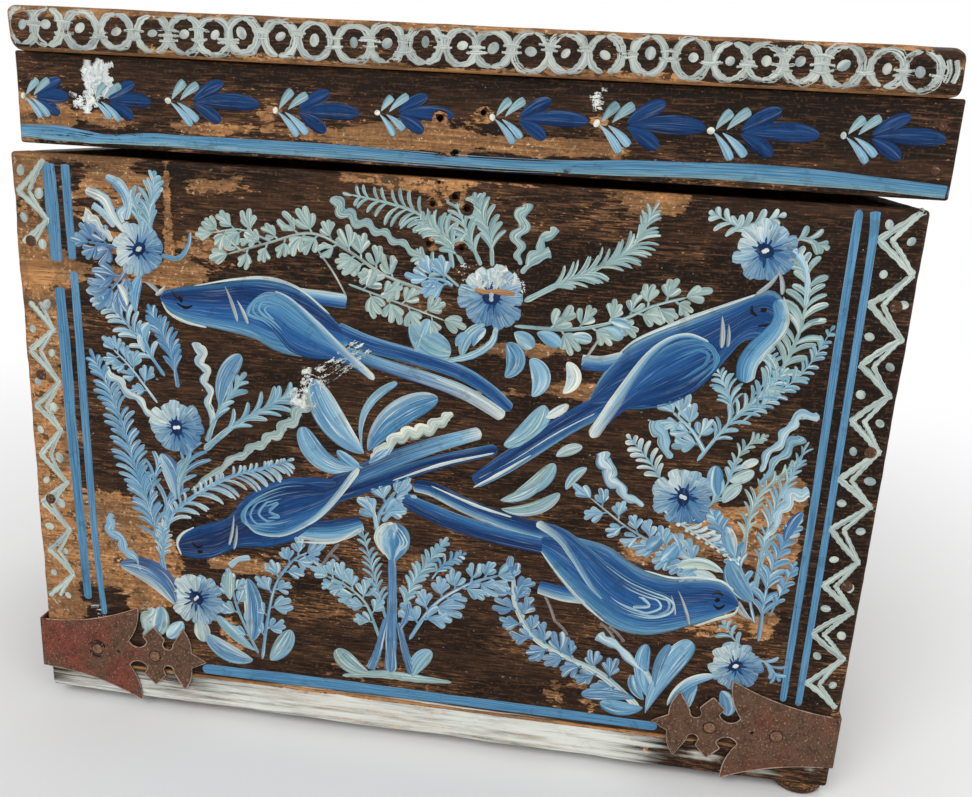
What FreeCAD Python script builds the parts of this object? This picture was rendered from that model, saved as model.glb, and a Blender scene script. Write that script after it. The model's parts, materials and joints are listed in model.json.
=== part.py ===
import FreeCAD, Part
import math
import os
from FreeCAD import Vector

# Driving dimensions, in millimetres.
body_width = 560.0
body_depth = 376.0
body_height = 386.0
wall = 20.0
bottom_thickness = 24.0
edge_round = 2.0

foot_height = 9.0
foot_radius = 17.0
foot_flat_radius = 13.5
foot_tenon_radius = 7.0
foot_tenon_length = 15.0
front_left_foot_set_back = 24.0

rail_height = 55.0
lid_shift = 8.0
lid_clearance = 0.3
lid_gap_in_front = 5.5
top_thickness = 26.0
top_width = 556.0
top_shift = -2.5
top_front_overhang = 7.5
top_back_overhang = 4.0
top_round = 4.0

strap_thickness = 1.5
strap_centre_height = 36.0
strap_corner_half_height = 19.0
strap_length = 121.0
strap_nail_places = (38.5, 82.5)
strap_spare_hole_place = 54.5
strap_spare_hole_radius = 1.3
loose_strap_bow = 4.0

hinge_spacing = 340.0
leaf_width = 46.0
leaf_height = 34.0
leaf_thickness = 1.8
knuckle_radius = 4.0
knuckle_gap = 0.2
knuckle_wood_gap = 0.3
leaf_knuckle_clearance = 0.6
middle_knuckle_length = 17.0
pin_radius = 2.0
pin_running_clearance = 0.05
pin_head_radius = 3.0
pin_head_length = 1.2

# Nails as head radius, head height, shank radius and length.
clout_nail = (3.8, 1.2, 1.4, 18.0)
carcase_nail = (3.6, 0.8, 1.5, 48.0)
board_nail = (3.0, 0.6, 1.4, 52.0)
rail_nail = (2.4, 0.5, 1.3, 46.0)
hinge_nail = (3.0, 0.9, 1.3, 15.0)
nail_point_length = 4.0
nail_point_radius = 0.4
head_rim = 0.3

carcase_nail_heights = (150.0, 240.0, 330.0)
rail_nail_heights = (16.0, 40.0)
board_nail_places = (-230.0, -78.0, 78.0, 230.0)
board_nail_side_places = (-60.0, 60.0)

# Holes that a lost lock left: place along X, and height above the bottom board or above the lid rail's edge.
lock_hole_radius = 1.6
lock_hole_depth = 9.0
body_lock_holes = ((7.7, 376.0), (-4.9, 369.8), (15.4, 369.3), (-7.7, 346.7), (13.5, 345.2))
lid_lock_holes = ((-5.7, 27.3), (22.0, 34.5), (6.5, 9.7))

# Places worked out from the driving dimensions.
body_bottom = foot_height
walls_bottom = body_bottom + bottom_thickness
rim = body_bottom + body_height
half_width = body_width / 2
hinge_y = body_depth + knuckle_wood_gap + knuckle_radius
hinge_z = rim + lid_clearance / 2
rail_bottom = rim + lid_clearance
rail_top = rail_bottom + rail_height
rail_left = lid_shift - half_width
rail_right = lid_shift + half_width
ajar_angle = math.degrees(math.asin(lid_gap_in_front / hinge_y))

front = Vector(0, -1, 0)
back = Vector(0, 1, 0)
left = Vector(-1, 0, 0)
right = Vector(1, 0, 0)
up = Vector(0, 0, 1)
down = Vector(0, 0, -1)


def block(x0, x1, y0, y1, z0, z1, rounding=0.0):
    shape = Part.makeBox(x1 - x0, y1 - y0, z1 - z0, Vector(x0, y0, z0))
    if rounding:
        shape = shape.makeFillet(rounding, shape.Edges)
    return shape


def rounded_edges(shape, rounding, wanted):
    edges = [edge for edge in shape.Edges if wanted(edge.BoundBox)]
    return shape.makeFillet(rounding, edges)


def nail(kind, place, outward, lift=0.0):
    # A turned profile: pointed shank, and a head that is a cap of a ball with its flat underside at the place.
    head_radius, head_height, shank_radius, length = kind
    dome = head_height - head_rim
    ball_radius = (head_radius**2 + dome**2) / (2 * dome)
    half_angle = math.asin(head_radius / ball_radius) / 2
    ball_centre = head_height - ball_radius
    rim_point = Vector(head_radius, 0, head_rim)
    crown = Vector(0, 0, head_height)
    shoulder = Vector(ball_radius * math.sin(half_angle), 0, ball_centre + ball_radius * math.cos(half_angle))
    corners = [
        crown,
        Vector(0, 0, -length),
        Vector(nail_point_radius, 0, -length),
        Vector(shank_radius, 0, nail_point_length - length),
        Vector(shank_radius, 0, 0),
        Vector(head_radius, 0, 0),
        rim_point,
    ]
    edges = [Part.makeLine(a, b) for a, b in zip(corners, corners[1:])]
    edges.append(Part.Arc(rim_point, shoulder, crown).toShape())
    solid = Part.Face(Part.Wire(edges)).revolve(Vector(0, 0, 0), up, 360)
    turn = FreeCAD.Rotation(up, outward)
    solid.Placement = FreeCAD.Placement(place + outward * lift, turn)
    return solid


def foot(x, y):
    # A turned bun: flat sole, bulging side, and a round tenon up into the bottom board.
    sole = Vector(foot_flat_radius, 0, 0)
    bulge = Vector(foot_radius, 0, foot_height / 2)
    shoulder = Vector(foot_flat_radius, 0, foot_height)
    tenon_top = foot_height + foot_tenon_length
    edges = [
        Part.makeLine(Vector(0, 0, 0), sole),
        Part.Arc(sole, bulge, shoulder).toShape(),
        Part.makeLine(shoulder, Vector(foot_tenon_radius, 0, foot_height)),
        Part.makeLine(Vector(foot_tenon_radius, 0, foot_height), Vector(foot_tenon_radius, 0, tenon_top)),
        Part.makeLine(Vector(foot_tenon_radius, 0, tenon_top), Vector(0, 0, tenon_top)),
        Part.makeLine(Vector(0, 0, tenon_top), Vector(0, 0, 0)),
    ]
    solid = Part.Face(Part.Wire(edges)).revolve(Vector(0, 0, 0), up, 360)
    solid.translate(Vector(x, y, 0))
    return solid


def strap_outline(start):
    # Half of the cut-out edge from the corner to the point, as (kind, points); the other half mirrors it.
    half = strap_corner_half_height
    steps = [
        ("line", (0, half)),
        ("arc", (42, 25.5), (71, 37)),
        ("arc", (68.5, 21), (62.5, 10)),
        ("arc", (71, 5.2), (77.5, 11)),
        ("line", (74.5, 15)),
        ("line", (82.5, 23)),
        ("line", (90, 14.5)),
        ("line", (88.5, 10.5)),
        ("arc", (92.5, 6), (97, 11)),
        ("line", (104.5, 24)),
        ("arc", (108.5, 17), (110, 6)),
        ("line", (strap_length, 0)),
    ]
    edges = []
    for side in (1, -1):
        here = Vector(start, side * half, 0)
        for step in steps:
            points = [Vector(s, side * v, 0) for s, v in step[1:]]
            if step[0] == "arc":
                edges.append(Part.Arc(here, points[0], points[1]).toShape())
            elif (points[-1] - here).Length > 1e-6:
                edges.append(Part.makeLine(here, points[-1]))
            here = points[-1]
    edges.append(Part.makeLine(Vector(start, half, 0), Vector(start, -half, 0)))
    return Part.Face(Part.Wire(Part.__sortEdges__(edges)))


def strap_plate(start):
    # One leg lying flat: length along X, height along Z, its back at y = 0 and its face at y = -thickness.
    plate = strap_outline(start).extrude(Vector(0, 0, strap_thickness))
    hole = Part.makeCylinder(strap_spare_hole_radius, strap_thickness, Vector(strap_spare_hole_place, 0, 0))
    plate = plate.cut(hole)
    plate.rotate(Vector(0, 0, 0), Vector(1, 0, 0), 90)
    return plate


def corner_strap(bow):
    # The front right corner: the front leg runs to -X, the side leg to +Y and leans in until it lies flat.
    half = strap_corner_half_height
    lean = math.degrees(math.atan2(bow, strap_length))
    front_leg = strap_plate(-bow)
    front_leg.rotate(Vector(0, 0, 0), up, 180)
    front_leg.translate(Vector(0, -strap_thickness, 0))
    side_leg = strap_plate(0)
    side_leg.rotate(Vector(0, 0, 0), up, 90)
    side_leg.rotate(Vector(0, 0, 0), up, lean)
    side_leg.translate(Vector(bow, 0, 0))
    bend_base = Vector(bow, 0, -half)
    bend = Part.makeCylinder(strap_thickness, 2 * half, bend_base, up, 90 + lean)
    bend.rotate(bend_base, up, -90)
    strap = front_leg.fuse([bend, side_leg]).removeSplitter()
    strap.translate(Vector(half_width, 0, body_bottom + strap_centre_height))
    return strap


def strap_with_nails(is_left, is_back, bow):
    # The corner's strap and its four nails, mirrored from the front right corner where needed.
    height = body_bottom + strap_centre_height
    nails = []
    for place in strap_nail_places:
        stand_off = bow * (1 - place / strap_length) + strap_thickness
        nails.append(nail(clout_nail, Vector(half_width - place, 0, height), front, strap_thickness))
        nails.append(nail(clout_nail, Vector(half_width, place, height), right, stand_off))
    shapes = [corner_strap(bow)] + nails
    if is_left:
        shapes = [shape.mirror(Vector(0, 0, 0), right) for shape in shapes]
    if is_back:
        shapes = [shape.mirror(Vector(0, body_depth / 2, 0), back) for shape in shapes]
    strap = shapes[0].cut(Part.makeCompound(shapes[1:]))
    return strap, shapes[1:]


def hinge_leaf(x, is_lid):
    # A plate on the back face with its share of the barrel: two outer knuckles below, a middle one above.
    side = 1 if is_lid else -1
    half_middle = middle_knuckle_length / 2
    half_leaf = leaf_width / 2
    if is_lid:
        spans = [(-half_middle, half_middle)]
    else:
        spans = [(-half_leaf, -half_middle - knuckle_gap), (half_middle + knuckle_gap, half_leaf)]
    z_near = hinge_z + side * (knuckle_radius + leaf_knuckle_clearance)
    z_far = hinge_z + side * leaf_height
    plate_back = body_depth + leaf_thickness
    z_low, z_high = sorted((z_near, z_far))
    leaf = block(x - half_leaf, x + half_leaf, body_depth, plate_back, z_low, z_high)
    pieces = []
    for x0, x1 in spans:
        z_low, z_high = sorted((hinge_z, z_near))
        pieces.append(block(x + x0, x + x1, body_depth + knuckle_wood_gap, plate_back, z_low, z_high))
        pieces.append(Part.makeCylinder(knuckle_radius, x1 - x0, Vector(x + x0, hinge_y, hinge_z), right))
    leaf = leaf.fuse(pieces).removeSplitter()
    bore_radius = pin_radius + (pin_running_clearance if is_lid else 0)
    bore = Part.makeCylinder(bore_radius, leaf_width, Vector(x - half_leaf, hinge_y, hinge_z), right)
    return leaf.cut(bore)


def hinge_pin(x):
    half_leaf = leaf_width / 2
    start = Vector(x - half_leaf, hinge_y, hinge_z)
    end = Vector(x + half_leaf, hinge_y, hinge_z)
    heads = [
        Part.makeCone(pin_head_radius, pin_radius, pin_head_length, start, left),
        Part.makeCone(pin_head_radius, pin_radius, pin_head_length, end, right),
    ]
    return Part.makeCylinder(pin_radius, leaf_width, start, right).fuse(heads).removeSplitter()


def hinge_nails(x, is_lid):
    side = 1 if is_lid else -1
    places = [(-0.34, 0.42), (0.34, 0.42), (0.0, 0.78)]
    return [
        nail(
            hinge_nail,
            Vector(x + u * leaf_width, body_depth, hinge_z + side * v * leaf_height),
            back,
            leaf_thickness,
        )
        for u, v in places
    ]


def blind_holes(places, base_height):
    return [
        Part.makeCylinder(lock_hole_radius, lock_hole_depth, Vector(x, 0, base_height + z), back)
        for x, z in places
    ]


def drilled(board, *groups):
    cutters = [tool for group in groups for tool in group]
    return board.cut(Part.makeCompound(cutters))


def carcase():
    inner = half_width - wall
    parts = {}

    corner_x = half_width - wall / 2
    corner_nails = []
    for x in (-corner_x, corner_x):
        for height in carcase_nail_heights:
            corner_nails.append(nail(carcase_nail, Vector(x, 0, body_bottom + height), front))
            corner_nails.append(nail(carcase_nail, Vector(x, body_depth, body_bottom + height), back))
    parts["carcase_nails"] = Part.makeCompound(corner_nails)

    under_nails = []
    for x in board_nail_places:
        for y in (wall / 2, body_depth - wall / 2):
            under_nails.append(nail(board_nail, Vector(x, y, body_bottom), down))
    for y in board_nail_side_places:
        for x in (-corner_x, corner_x):
            under_nails.append(nail(board_nail, Vector(x, body_depth / 2 + y, body_bottom), down))
    parts["bottom_nails"] = Part.makeCompound(under_nails)

    # The front left foot stands further in than the others.
    foot_x = half_width - foot_radius
    foot_back_y = body_depth - foot_radius
    feet = {
        "foot_front_left": foot(-foot_x, foot_radius + front_left_foot_set_back),
        "foot_front_right": foot(foot_x, foot_radius),
        "foot_back_left": foot(-foot_x, foot_back_y),
        "foot_back_right": foot(foot_x, foot_back_y),
    }
    parts.update(feet)

    strap_nails = []
    for y_name in ("front", "back"):
        for x_name in ("left", "right"):
            bow = loose_strap_bow if (y_name, x_name) == ("front", "left") else 0.0
            strap, nails = strap_with_nails(x_name == "left", y_name == "back", bow)
            parts["corner_strap_" + y_name + "_" + x_name] = strap
            strap_nails += nails
    parts["strap_nails"] = Part.makeCompound(strap_nails)

    body_hinge_nails = []
    for name, x in (("left", -hinge_spacing / 2), ("right", hinge_spacing / 2)):
        nails = hinge_nails(x, False)
        leaf = hinge_leaf(x, False)
        parts[name + "_hinge_body_leaf"] = drilled(leaf, nails)
        parts[name + "_hinge_pin"] = hinge_pin(x)
        body_hinge_nails += nails
    parts["hinge_body_nails"] = Part.makeCompound(body_hinge_nails)

    fastenings = (corner_nails, under_nails, strap_nails, body_hinge_nails)
    boards = {
        "front_board": block(-half_width, half_width, 0, wall, walls_bottom, rim),
        "back_board": block(-half_width, half_width, body_depth - wall, body_depth, walls_bottom, rim),
        "left_side_board": block(-half_width, -inner, wall, body_depth - wall, walls_bottom, rim),
        "right_side_board": block(inner, half_width, wall, body_depth - wall, walls_bottom, rim),
    }
    boards["front_board"] = rounded_edges(
        boards["front_board"], edge_round, lambda box: box.YMax < 1e-6 and box.ZMax > walls_bottom + 1
    )
    boards["back_board"] = rounded_edges(
        boards["back_board"],
        edge_round,
        lambda box: box.YMin > body_depth - 1e-6 and box.ZMax > walls_bottom + 1,
    )
    for name, board in boards.items():
        parts[name] = drilled(board, *fastenings)
    parts["front_board"] = drilled(parts["front_board"], blind_holes(body_lock_holes, body_bottom))

    bottom = block(-half_width, half_width, 0, body_depth, body_bottom, walls_bottom, edge_round)
    parts["bottom_board"] = drilled(bottom, list(feet.values()), under_nails, strap_nails)
    return parts


def lid():
    inner_left = rail_left + wall
    inner_right = rail_right - wall
    parts = {}

    rail_nails = []
    for x in (rail_left + wall / 2, rail_right - wall / 2):
        for height in rail_nail_heights:
            rail_nails.append(nail(rail_nail, Vector(x, 0, rail_bottom + height), front))
            rail_nails.append(nail(rail_nail, Vector(x, body_depth, rail_bottom + height), back))
    parts["lid_rail_nails"] = Part.makeCompound(rail_nails)

    top_nails = []
    top_surface = rail_top + top_thickness
    for x in board_nail_places:
        for y in (wall / 2, body_depth - wall / 2):
            top_nails.append(nail(board_nail, Vector(lid_shift + x, y, top_surface), up))
    for y in board_nail_side_places:
        for x in (rail_left + wall / 2, rail_right - wall / 2):
            top_nails.append(nail(board_nail, Vector(x, body_depth / 2 + y, top_surface), up))
    parts["lid_board_nails"] = Part.makeCompound(top_nails)

    lid_hinge_nails = []
    for name, x in (("left", -hinge_spacing / 2), ("right", hinge_spacing / 2)):
        nails = hinge_nails(x, True)
        parts[name + "_hinge_lid_leaf"] = drilled(hinge_leaf(x, True), nails)
        lid_hinge_nails += nails
    parts["hinge_lid_nails"] = Part.makeCompound(lid_hinge_nails)

    fastenings = (rail_nails, top_nails, lid_hinge_nails)
    rails = {
        "lid_front_rail": block(rail_left, rail_right, 0, wall, rail_bottom, rail_top),
        "lid_back_rail": block(rail_left, rail_right, body_depth - wall, body_depth, rail_bottom, rail_top),
        "lid_left_rail": block(rail_left, inner_left, wall, body_depth - wall, rail_bottom, rail_top),
        "lid_right_rail": block(inner_right, rail_right, wall, body_depth - wall, rail_bottom, rail_top),
    }
    rails["lid_front_rail"] = rounded_edges(
        rails["lid_front_rail"], edge_round, lambda box: box.YMax < 1e-6 and box.ZMin < rail_top - 1
    )
    for name, rail in rails.items():
        parts[name] = drilled(rail, *fastenings)
    parts["lid_front_rail"] = drilled(parts["lid_front_rail"], blind_holes(lid_lock_holes, rail_bottom))

    top_left = lid_shift + top_shift - top_width / 2
    top = block(
        top_left,
        top_left + top_width,
        -top_front_overhang,
        body_depth + top_back_overhang,
        rail_top,
        top_surface,
        top_round,
    )
    parts["lid_top_board"] = drilled(top, top_nails)

    # The lid stands ajar: everything on it turns up about the hinge pins.
    for shape in parts.values():
        shape.rotate(Vector(0, hinge_y, hinge_z), left, ajar_angle)
    return parts


os.makedirs("parts", exist_ok=True)
nodes = {**carcase(), **lid()}
box = Part.makeCompound(list(nodes.values())).optimalBoundingBox(False, False)
to_origin = Vector(-box.Center.x, -box.Center.y, 0)
for name, shape in nodes.items():
    shape.translate(to_origin)
    shape.exportStep("parts/" + name + ".step")
    print(name, "valid" if shape.isValid() else "INVALID", "solids", len(shape.Solids))
print("front face, body centre and floor moved by", to_origin)
print("box", box.XLength, box.YLength, box.ZLength)
print("hinge axis", to_origin + Vector(0, hinge_y, hinge_z), "ajar", ajar_angle)
print("foot centres", half_width - foot_radius, foot_radius, body_depth - foot_radius)
print("cavity", half_width - wall, wall, body_depth - wall, walls_bottom, rim)
print("lid hollow", rail_left + wall, rail_right - wall, rail_bottom, rail_top)
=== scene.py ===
import json
from math import atan2, cos, pi, radians, sin
import bpy
import numpy as np
from mathutils import Matrix, Vector


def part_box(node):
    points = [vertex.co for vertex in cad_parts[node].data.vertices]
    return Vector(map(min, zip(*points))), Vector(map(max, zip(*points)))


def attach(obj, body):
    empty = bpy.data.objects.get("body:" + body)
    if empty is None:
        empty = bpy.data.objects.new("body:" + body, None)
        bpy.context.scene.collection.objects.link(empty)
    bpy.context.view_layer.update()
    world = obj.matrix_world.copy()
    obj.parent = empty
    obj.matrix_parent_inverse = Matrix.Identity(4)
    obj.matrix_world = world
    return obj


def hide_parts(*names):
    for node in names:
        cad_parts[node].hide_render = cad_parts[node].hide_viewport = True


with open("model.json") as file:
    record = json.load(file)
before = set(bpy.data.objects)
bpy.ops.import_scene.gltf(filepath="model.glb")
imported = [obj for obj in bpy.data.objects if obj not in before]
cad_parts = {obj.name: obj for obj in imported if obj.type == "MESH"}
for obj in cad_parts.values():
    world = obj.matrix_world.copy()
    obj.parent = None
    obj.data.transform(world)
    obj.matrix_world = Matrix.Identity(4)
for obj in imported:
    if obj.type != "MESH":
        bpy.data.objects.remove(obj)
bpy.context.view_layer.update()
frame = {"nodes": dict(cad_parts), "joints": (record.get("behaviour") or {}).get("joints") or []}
nodes = frame["nodes"]
dice = np.random.default_rng(7)
mm = 0.001
anyTurn = 6.28  # radians, for a random turn or phase
print("frame loaded")


def pick(span):  # random, within a span
    return dice.uniform(*span)


def jitter(size, count=None):  # random, up to size either way
    return dice.uniform(-size, size, count)


def srgb(red, green, blue):  # screen colour to the linear one that shaders use
    c = np.array([red, green, blue]) / 255
    return np.where(c <= 0.04045, c / 12.92, ((c + 0.055) / 1.055) ** 2.4)


paints = dict(
    cream=srgb(230, 230, 214), ice=srgb(196, 214, 214), sage=srgb(158, 180, 170), mist=srgb(132, 168, 174),
    sky=srgb(128, 174, 198), azure=srgb(78, 134, 172), stripe=srgb(92, 143, 174), royal=srgb(42, 92, 146),
    deep=srgb(28, 68, 118), navy=srgb(24, 48, 90), black=srgb(24, 20, 22), bark=srgb(138, 130, 126),
    chalk=srgb(216, 219, 213), tan=srgb(178, 130, 86), bone=srgb(184, 196, 186), haze=srgb(184, 190, 182))


def tones(names):  # colours across a stroke, from its left edge to its right one
    return np.array([paints[n] for n in names.split()]) if isinstance(names, str) else names


# the lid is modelled ajar: its turn about the hinge follows from the two rails' boxes
frontRail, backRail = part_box("lid_front_rail"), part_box("lid_back_rail")
lidTilt = atan2(frontRail[0].z - backRail[0].z, backRail[1].y - frontRail[1].y)
hingeAt = np.array(frame["joints"][0]["pos_m"])
filmRoom = 0.15 * mm


def tilted(points, angle):  # turned about the hinge line, front edge up for a positive angle
    y, z = points[:, 1] - hingeAt[1], points[:, 2] - hingeAt[2]
    c, s = cos(angle), sin(angle)
    return np.stack([points[:, 0], hingeAt[1] + y * c + z * s, hingeAt[2] - y * s + z * c], 1)


def ajarRise(y, tilt):  # how much higher a point at y stands with the lid ajar
    return (hingeAt[1] - y) * sin(tilt)


def meshPoints(mesh):
    flat = np.empty(len(mesh.vertices) * 3)
    mesh.vertices.foreach_get("co", flat)
    return flat.reshape(-1, 3)


def nodeBox(name, tilt=0.0):  # box of a CAD node, with the lid turned shut
    points = tilted(meshPoints(nodes[name].data), -tilt)
    low, high = points.min(0), points.max(0)
    if name == "lid_top_board":
        low[1] += filmRoom  # its front stands back by the paint on it
    return low, high


# painted faces: x from the body's centre, z up from the bottom board's underside, both in mm
bodyLow, bodyHigh = nodeBox("front_board")
baseZ = nodeBox("bottom_board")[0][2]
bodyX = (bodyLow[0] + bodyHigh[0]) / 2
faces = dict(
    front=dict(y=bodyLow[1], tilt=0.0, body="chest", board="front_board"),
    rail=dict(y=nodeBox("lid_front_rail", lidTilt)[0][1], tilt=lidTilt, body="lid", board="lid_front_rail"),
    top=dict(y=nodeBox("lid_top_board", lidTilt)[0][1], tilt=lidTilt, body="lid", board="lid_top_board"))


def onShutFace(face, x, z, height):  # mm on a painted face, and mm out of it, to metres with the lid shut
    up = baseZ + z * mm - ajarRise(face["y"], face["tilt"])
    return np.stack(np.broadcast_arrays(bodyX + x * mm, face["y"] - height * mm, up), -1)


def onFace(face, x, z, height):  # the same in the frame, with the lid ajar
    points = onShutFace(face, x, z, height)
    return tilted(points.reshape(-1, 3), face["tilt"]).reshape(points.shape)


# node helpers
def node(tree, kind, **values):
    made = tree.nodes.new("ShaderNode" + kind)
    for key, value in values.items():
        if hasattr(made, key) and key not in made.inputs:
            setattr(made, key, value)
        else:
            feed(tree, made.inputs[key.replace("_", " ")], value)
    return made


def feed(tree, socket, value):
    if isinstance(value, bpy.types.NodeSocket):
        tree.links.new(value, socket)
    else:
        socket.default_value = value


def calc(tree, operation, a, b=None, clamp=False):
    made = node(tree, "Math", operation=operation, use_clamp=clamp)
    feed(tree, made.inputs[0], a)
    if b is not None:
        feed(tree, made.inputs[1], b)
    return made.outputs[0]


def plus(tree, a, b):
    return calc(tree, "ADD", a, b)


def times(tree, a, b):
    return calc(tree, "MULTIPLY", a, b)


def weighed(tree, a, b, share):  # that share of a, and the rest of b
    return plus(tree, times(tree, a, share), times(tree, b, 1 - share))


def scaled(tree, vector, size):
    made = node(tree, "VectorMath", operation="MULTIPLY")
    feed(tree, made.inputs[0], vector)
    made.inputs[1].default_value = size
    return made.outputs[0]


def noise(tree, vector, scale, detail, roughness, distortion=0.0):
    made = node(tree, "TexNoise", Scale=scale, Detail=detail, Roughness=roughness, Distortion=distortion)
    tree.links.new(vector, made.inputs["Vector"])
    return made.outputs["Fac"]


def drawnNoise(tree, vector, scales, *look):  # noise with a scale of its own on each axis
    return noise(tree, scaled(tree, vector, scales), 1.0, *look)


def between(tree, value, low, high, to0=0.0, to1=1.0):  # smooth step from low to high
    made = node(tree, "MapRange", interpolation_type="SMOOTHSTEP")
    feed(tree, made.inputs["Value"], value)
    for key, number in (("From Min", low), ("From Max", high), ("To Min", to0), ("To Max", to1)):
        feed(tree, made.inputs[key], number)
    return made.outputs["Result"]


def blendColour(tree, amount, a, b, mode="MIX"):
    made = node(tree, "Mix", data_type="RGBA", blend_type=mode)
    feed(tree, made.inputs[0], amount)
    for socket, value in ((made.inputs[6], a), (made.inputs[7], b)):  # the colour sockets
        feed(tree, socket, value if isinstance(value, bpy.types.NodeSocket) else (*value, 1))
    return made.outputs[2]


# layers of colour, each over the last: (mask, where it begins, where it is full, strength, colour)
def laidOver(tree, colour, look, masks, layers, keep=None):
    for mask, low, high, strength, tone in layers:
        amount = between(tree, masks[mask], low, high, 0.0, strength)
        if keep is not None:
            amount = times(tree, amount, keep)
        colour = blendColour(tree, amount, colour, look[tone])
    return colour


def newGroup(name, inputs, outputs):
    tree = bpy.data.node_groups.new(name, "ShaderNodeTree")
    for label, kind, value in inputs:
        socket = tree.interface.new_socket(label, in_out="INPUT", socket_type="NodeSocket" + kind)
        if value is not None:
            socket.default_value = value
    for label, kind in outputs:
        tree.interface.new_socket(label, in_out="OUTPUT", socket_type="NodeSocket" + kind)
    return tree, tree.nodes.new("NodeGroupInput"), tree.nodes.new("NodeGroupOutput")


def useGroup(tree, group, **values):
    made = tree.nodes.new("ShaderNodeGroup")
    made.node_tree = group
    for key, value in values.items():
        feed(tree, made.inputs[key], value)
    return made.outputs


# wood grain: noise drawn out along x; (scales, detail, roughness, distortion) of each kind
grainKinds = dict(
    Bands=((5, 60, 60), 6, 0.6, 0.8), Pores=((22, 520, 520), 3, 0.6), Streaks=((70, 820, 820), 4, 0.66),
    Flecks=((260, 900, 900), 3, 0.6))
grainGroup, given, put = newGroup("boardGrain", [("Vector", "Vector", None)],
                                  [(kind, "Float") for kind in grainKinds])
for kind, look in grainKinds.items():
    grainGroup.links.new(drawnNoise(grainGroup, given.outputs["Vector"], *look), put.inputs[kind])

# flaking: where a coat is lost, more of it as Bias rises, ragged along the grain
flakeLook = dict(patch=((20, 44, 44), 12, 0.7, 0.3), scratch=((80, 420, 420), 4, 0.65), patchShare=0.8,
                 start=0.62)
flakeGroup, given, put = newGroup(
    "coatFlakes", [("Vector", "Vector", None), ("Bias", "Float", 0.0), ("Edge", "Float", 0.016)],
    [("Lost", "Float")])
patch, scratch = [drawnNoise(flakeGroup, given.outputs["Vector"], *flakeLook[kind])
                  for kind in ("patch", "scratch")]
level = plus(flakeGroup, weighed(flakeGroup, patch, scratch, flakeLook["patchShare"]), given.outputs["Bias"])
full = plus(flakeGroup, given.outputs["Edge"], flakeLook["start"])
flakeGroup.links.new(between(flakeGroup, level, flakeLook["start"], full), put.inputs["Lost"])

# specks: small spots for dust, dirt, pits and bits of coat; Amount lowers the level that a spot starts at
speckLook = dict(detail=3.0, roughness=0.6, start=0.78, lower=0.4, edge=0.06)
speckGroup, given, put = newGroup(
    "specks", [("Vector", "Vector", None), ("Scale", "Float", 300.0), ("Amount", "Float", 0.3)],
    [("Mask", "Float")])
spots = noise(speckGroup, given.outputs["Vector"], given.outputs["Scale"], speckLook["detail"],
              speckLook["roughness"])
lower = times(speckGroup, given.outputs["Amount"], speckLook["lower"])
start = calc(speckGroup, "SUBTRACT", speckLook["start"], lower)
full = plus(speckGroup, start, speckLook["edge"])
speckGroup.links.new(between(speckGroup, spots, start, full), put.inputs["Mask"])


def speckled(tree, where, kind, share=None):
    mask = useGroup(tree, speckGroup, Vector=where, **kind)["Mask"]
    return mask if share is None else times(tree, mask, share)


dullness = 0.09  # specular level of worn paint, old wood and rust


def newMaterial(name, roughness=0.7):
    made = bpy.data.materials.new(name)
    made.use_nodes = True
    tree = made.node_tree
    shader = tree.nodes["Principled BSDF"]
    shader.inputs["Roughness"].default_value = roughness
    shader.inputs["Specular IOR Level"].default_value = dullness
    return made, tree, shader


def bumped(tree, shader, height, distance, strength=0.6):
    made = node(tree, "Bump", Strength=strength, Distance=distance)
    tree.links.new(height, made.inputs["Height"])
    tree.links.new(made.outputs["Normal"], shader.inputs["Normal"])


def attribute(tree, name):
    return node(tree, "Attribute", attribute_name=name).outputs["Fac"]


def objectVector(tree):
    return node(tree, "TexCoord").outputs["Object"]


def grainVector(tree, axis):  # its x runs along the board's grain
    where = objectVector(tree)
    if axis == "x":
        return where
    turn = node(tree, "Mapping")
    turn.inputs["Rotation"].default_value = (0, 0, pi / 2)
    tree.links.new(where, turn.inputs["Vector"])
    return turn.outputs["Vector"]


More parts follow.
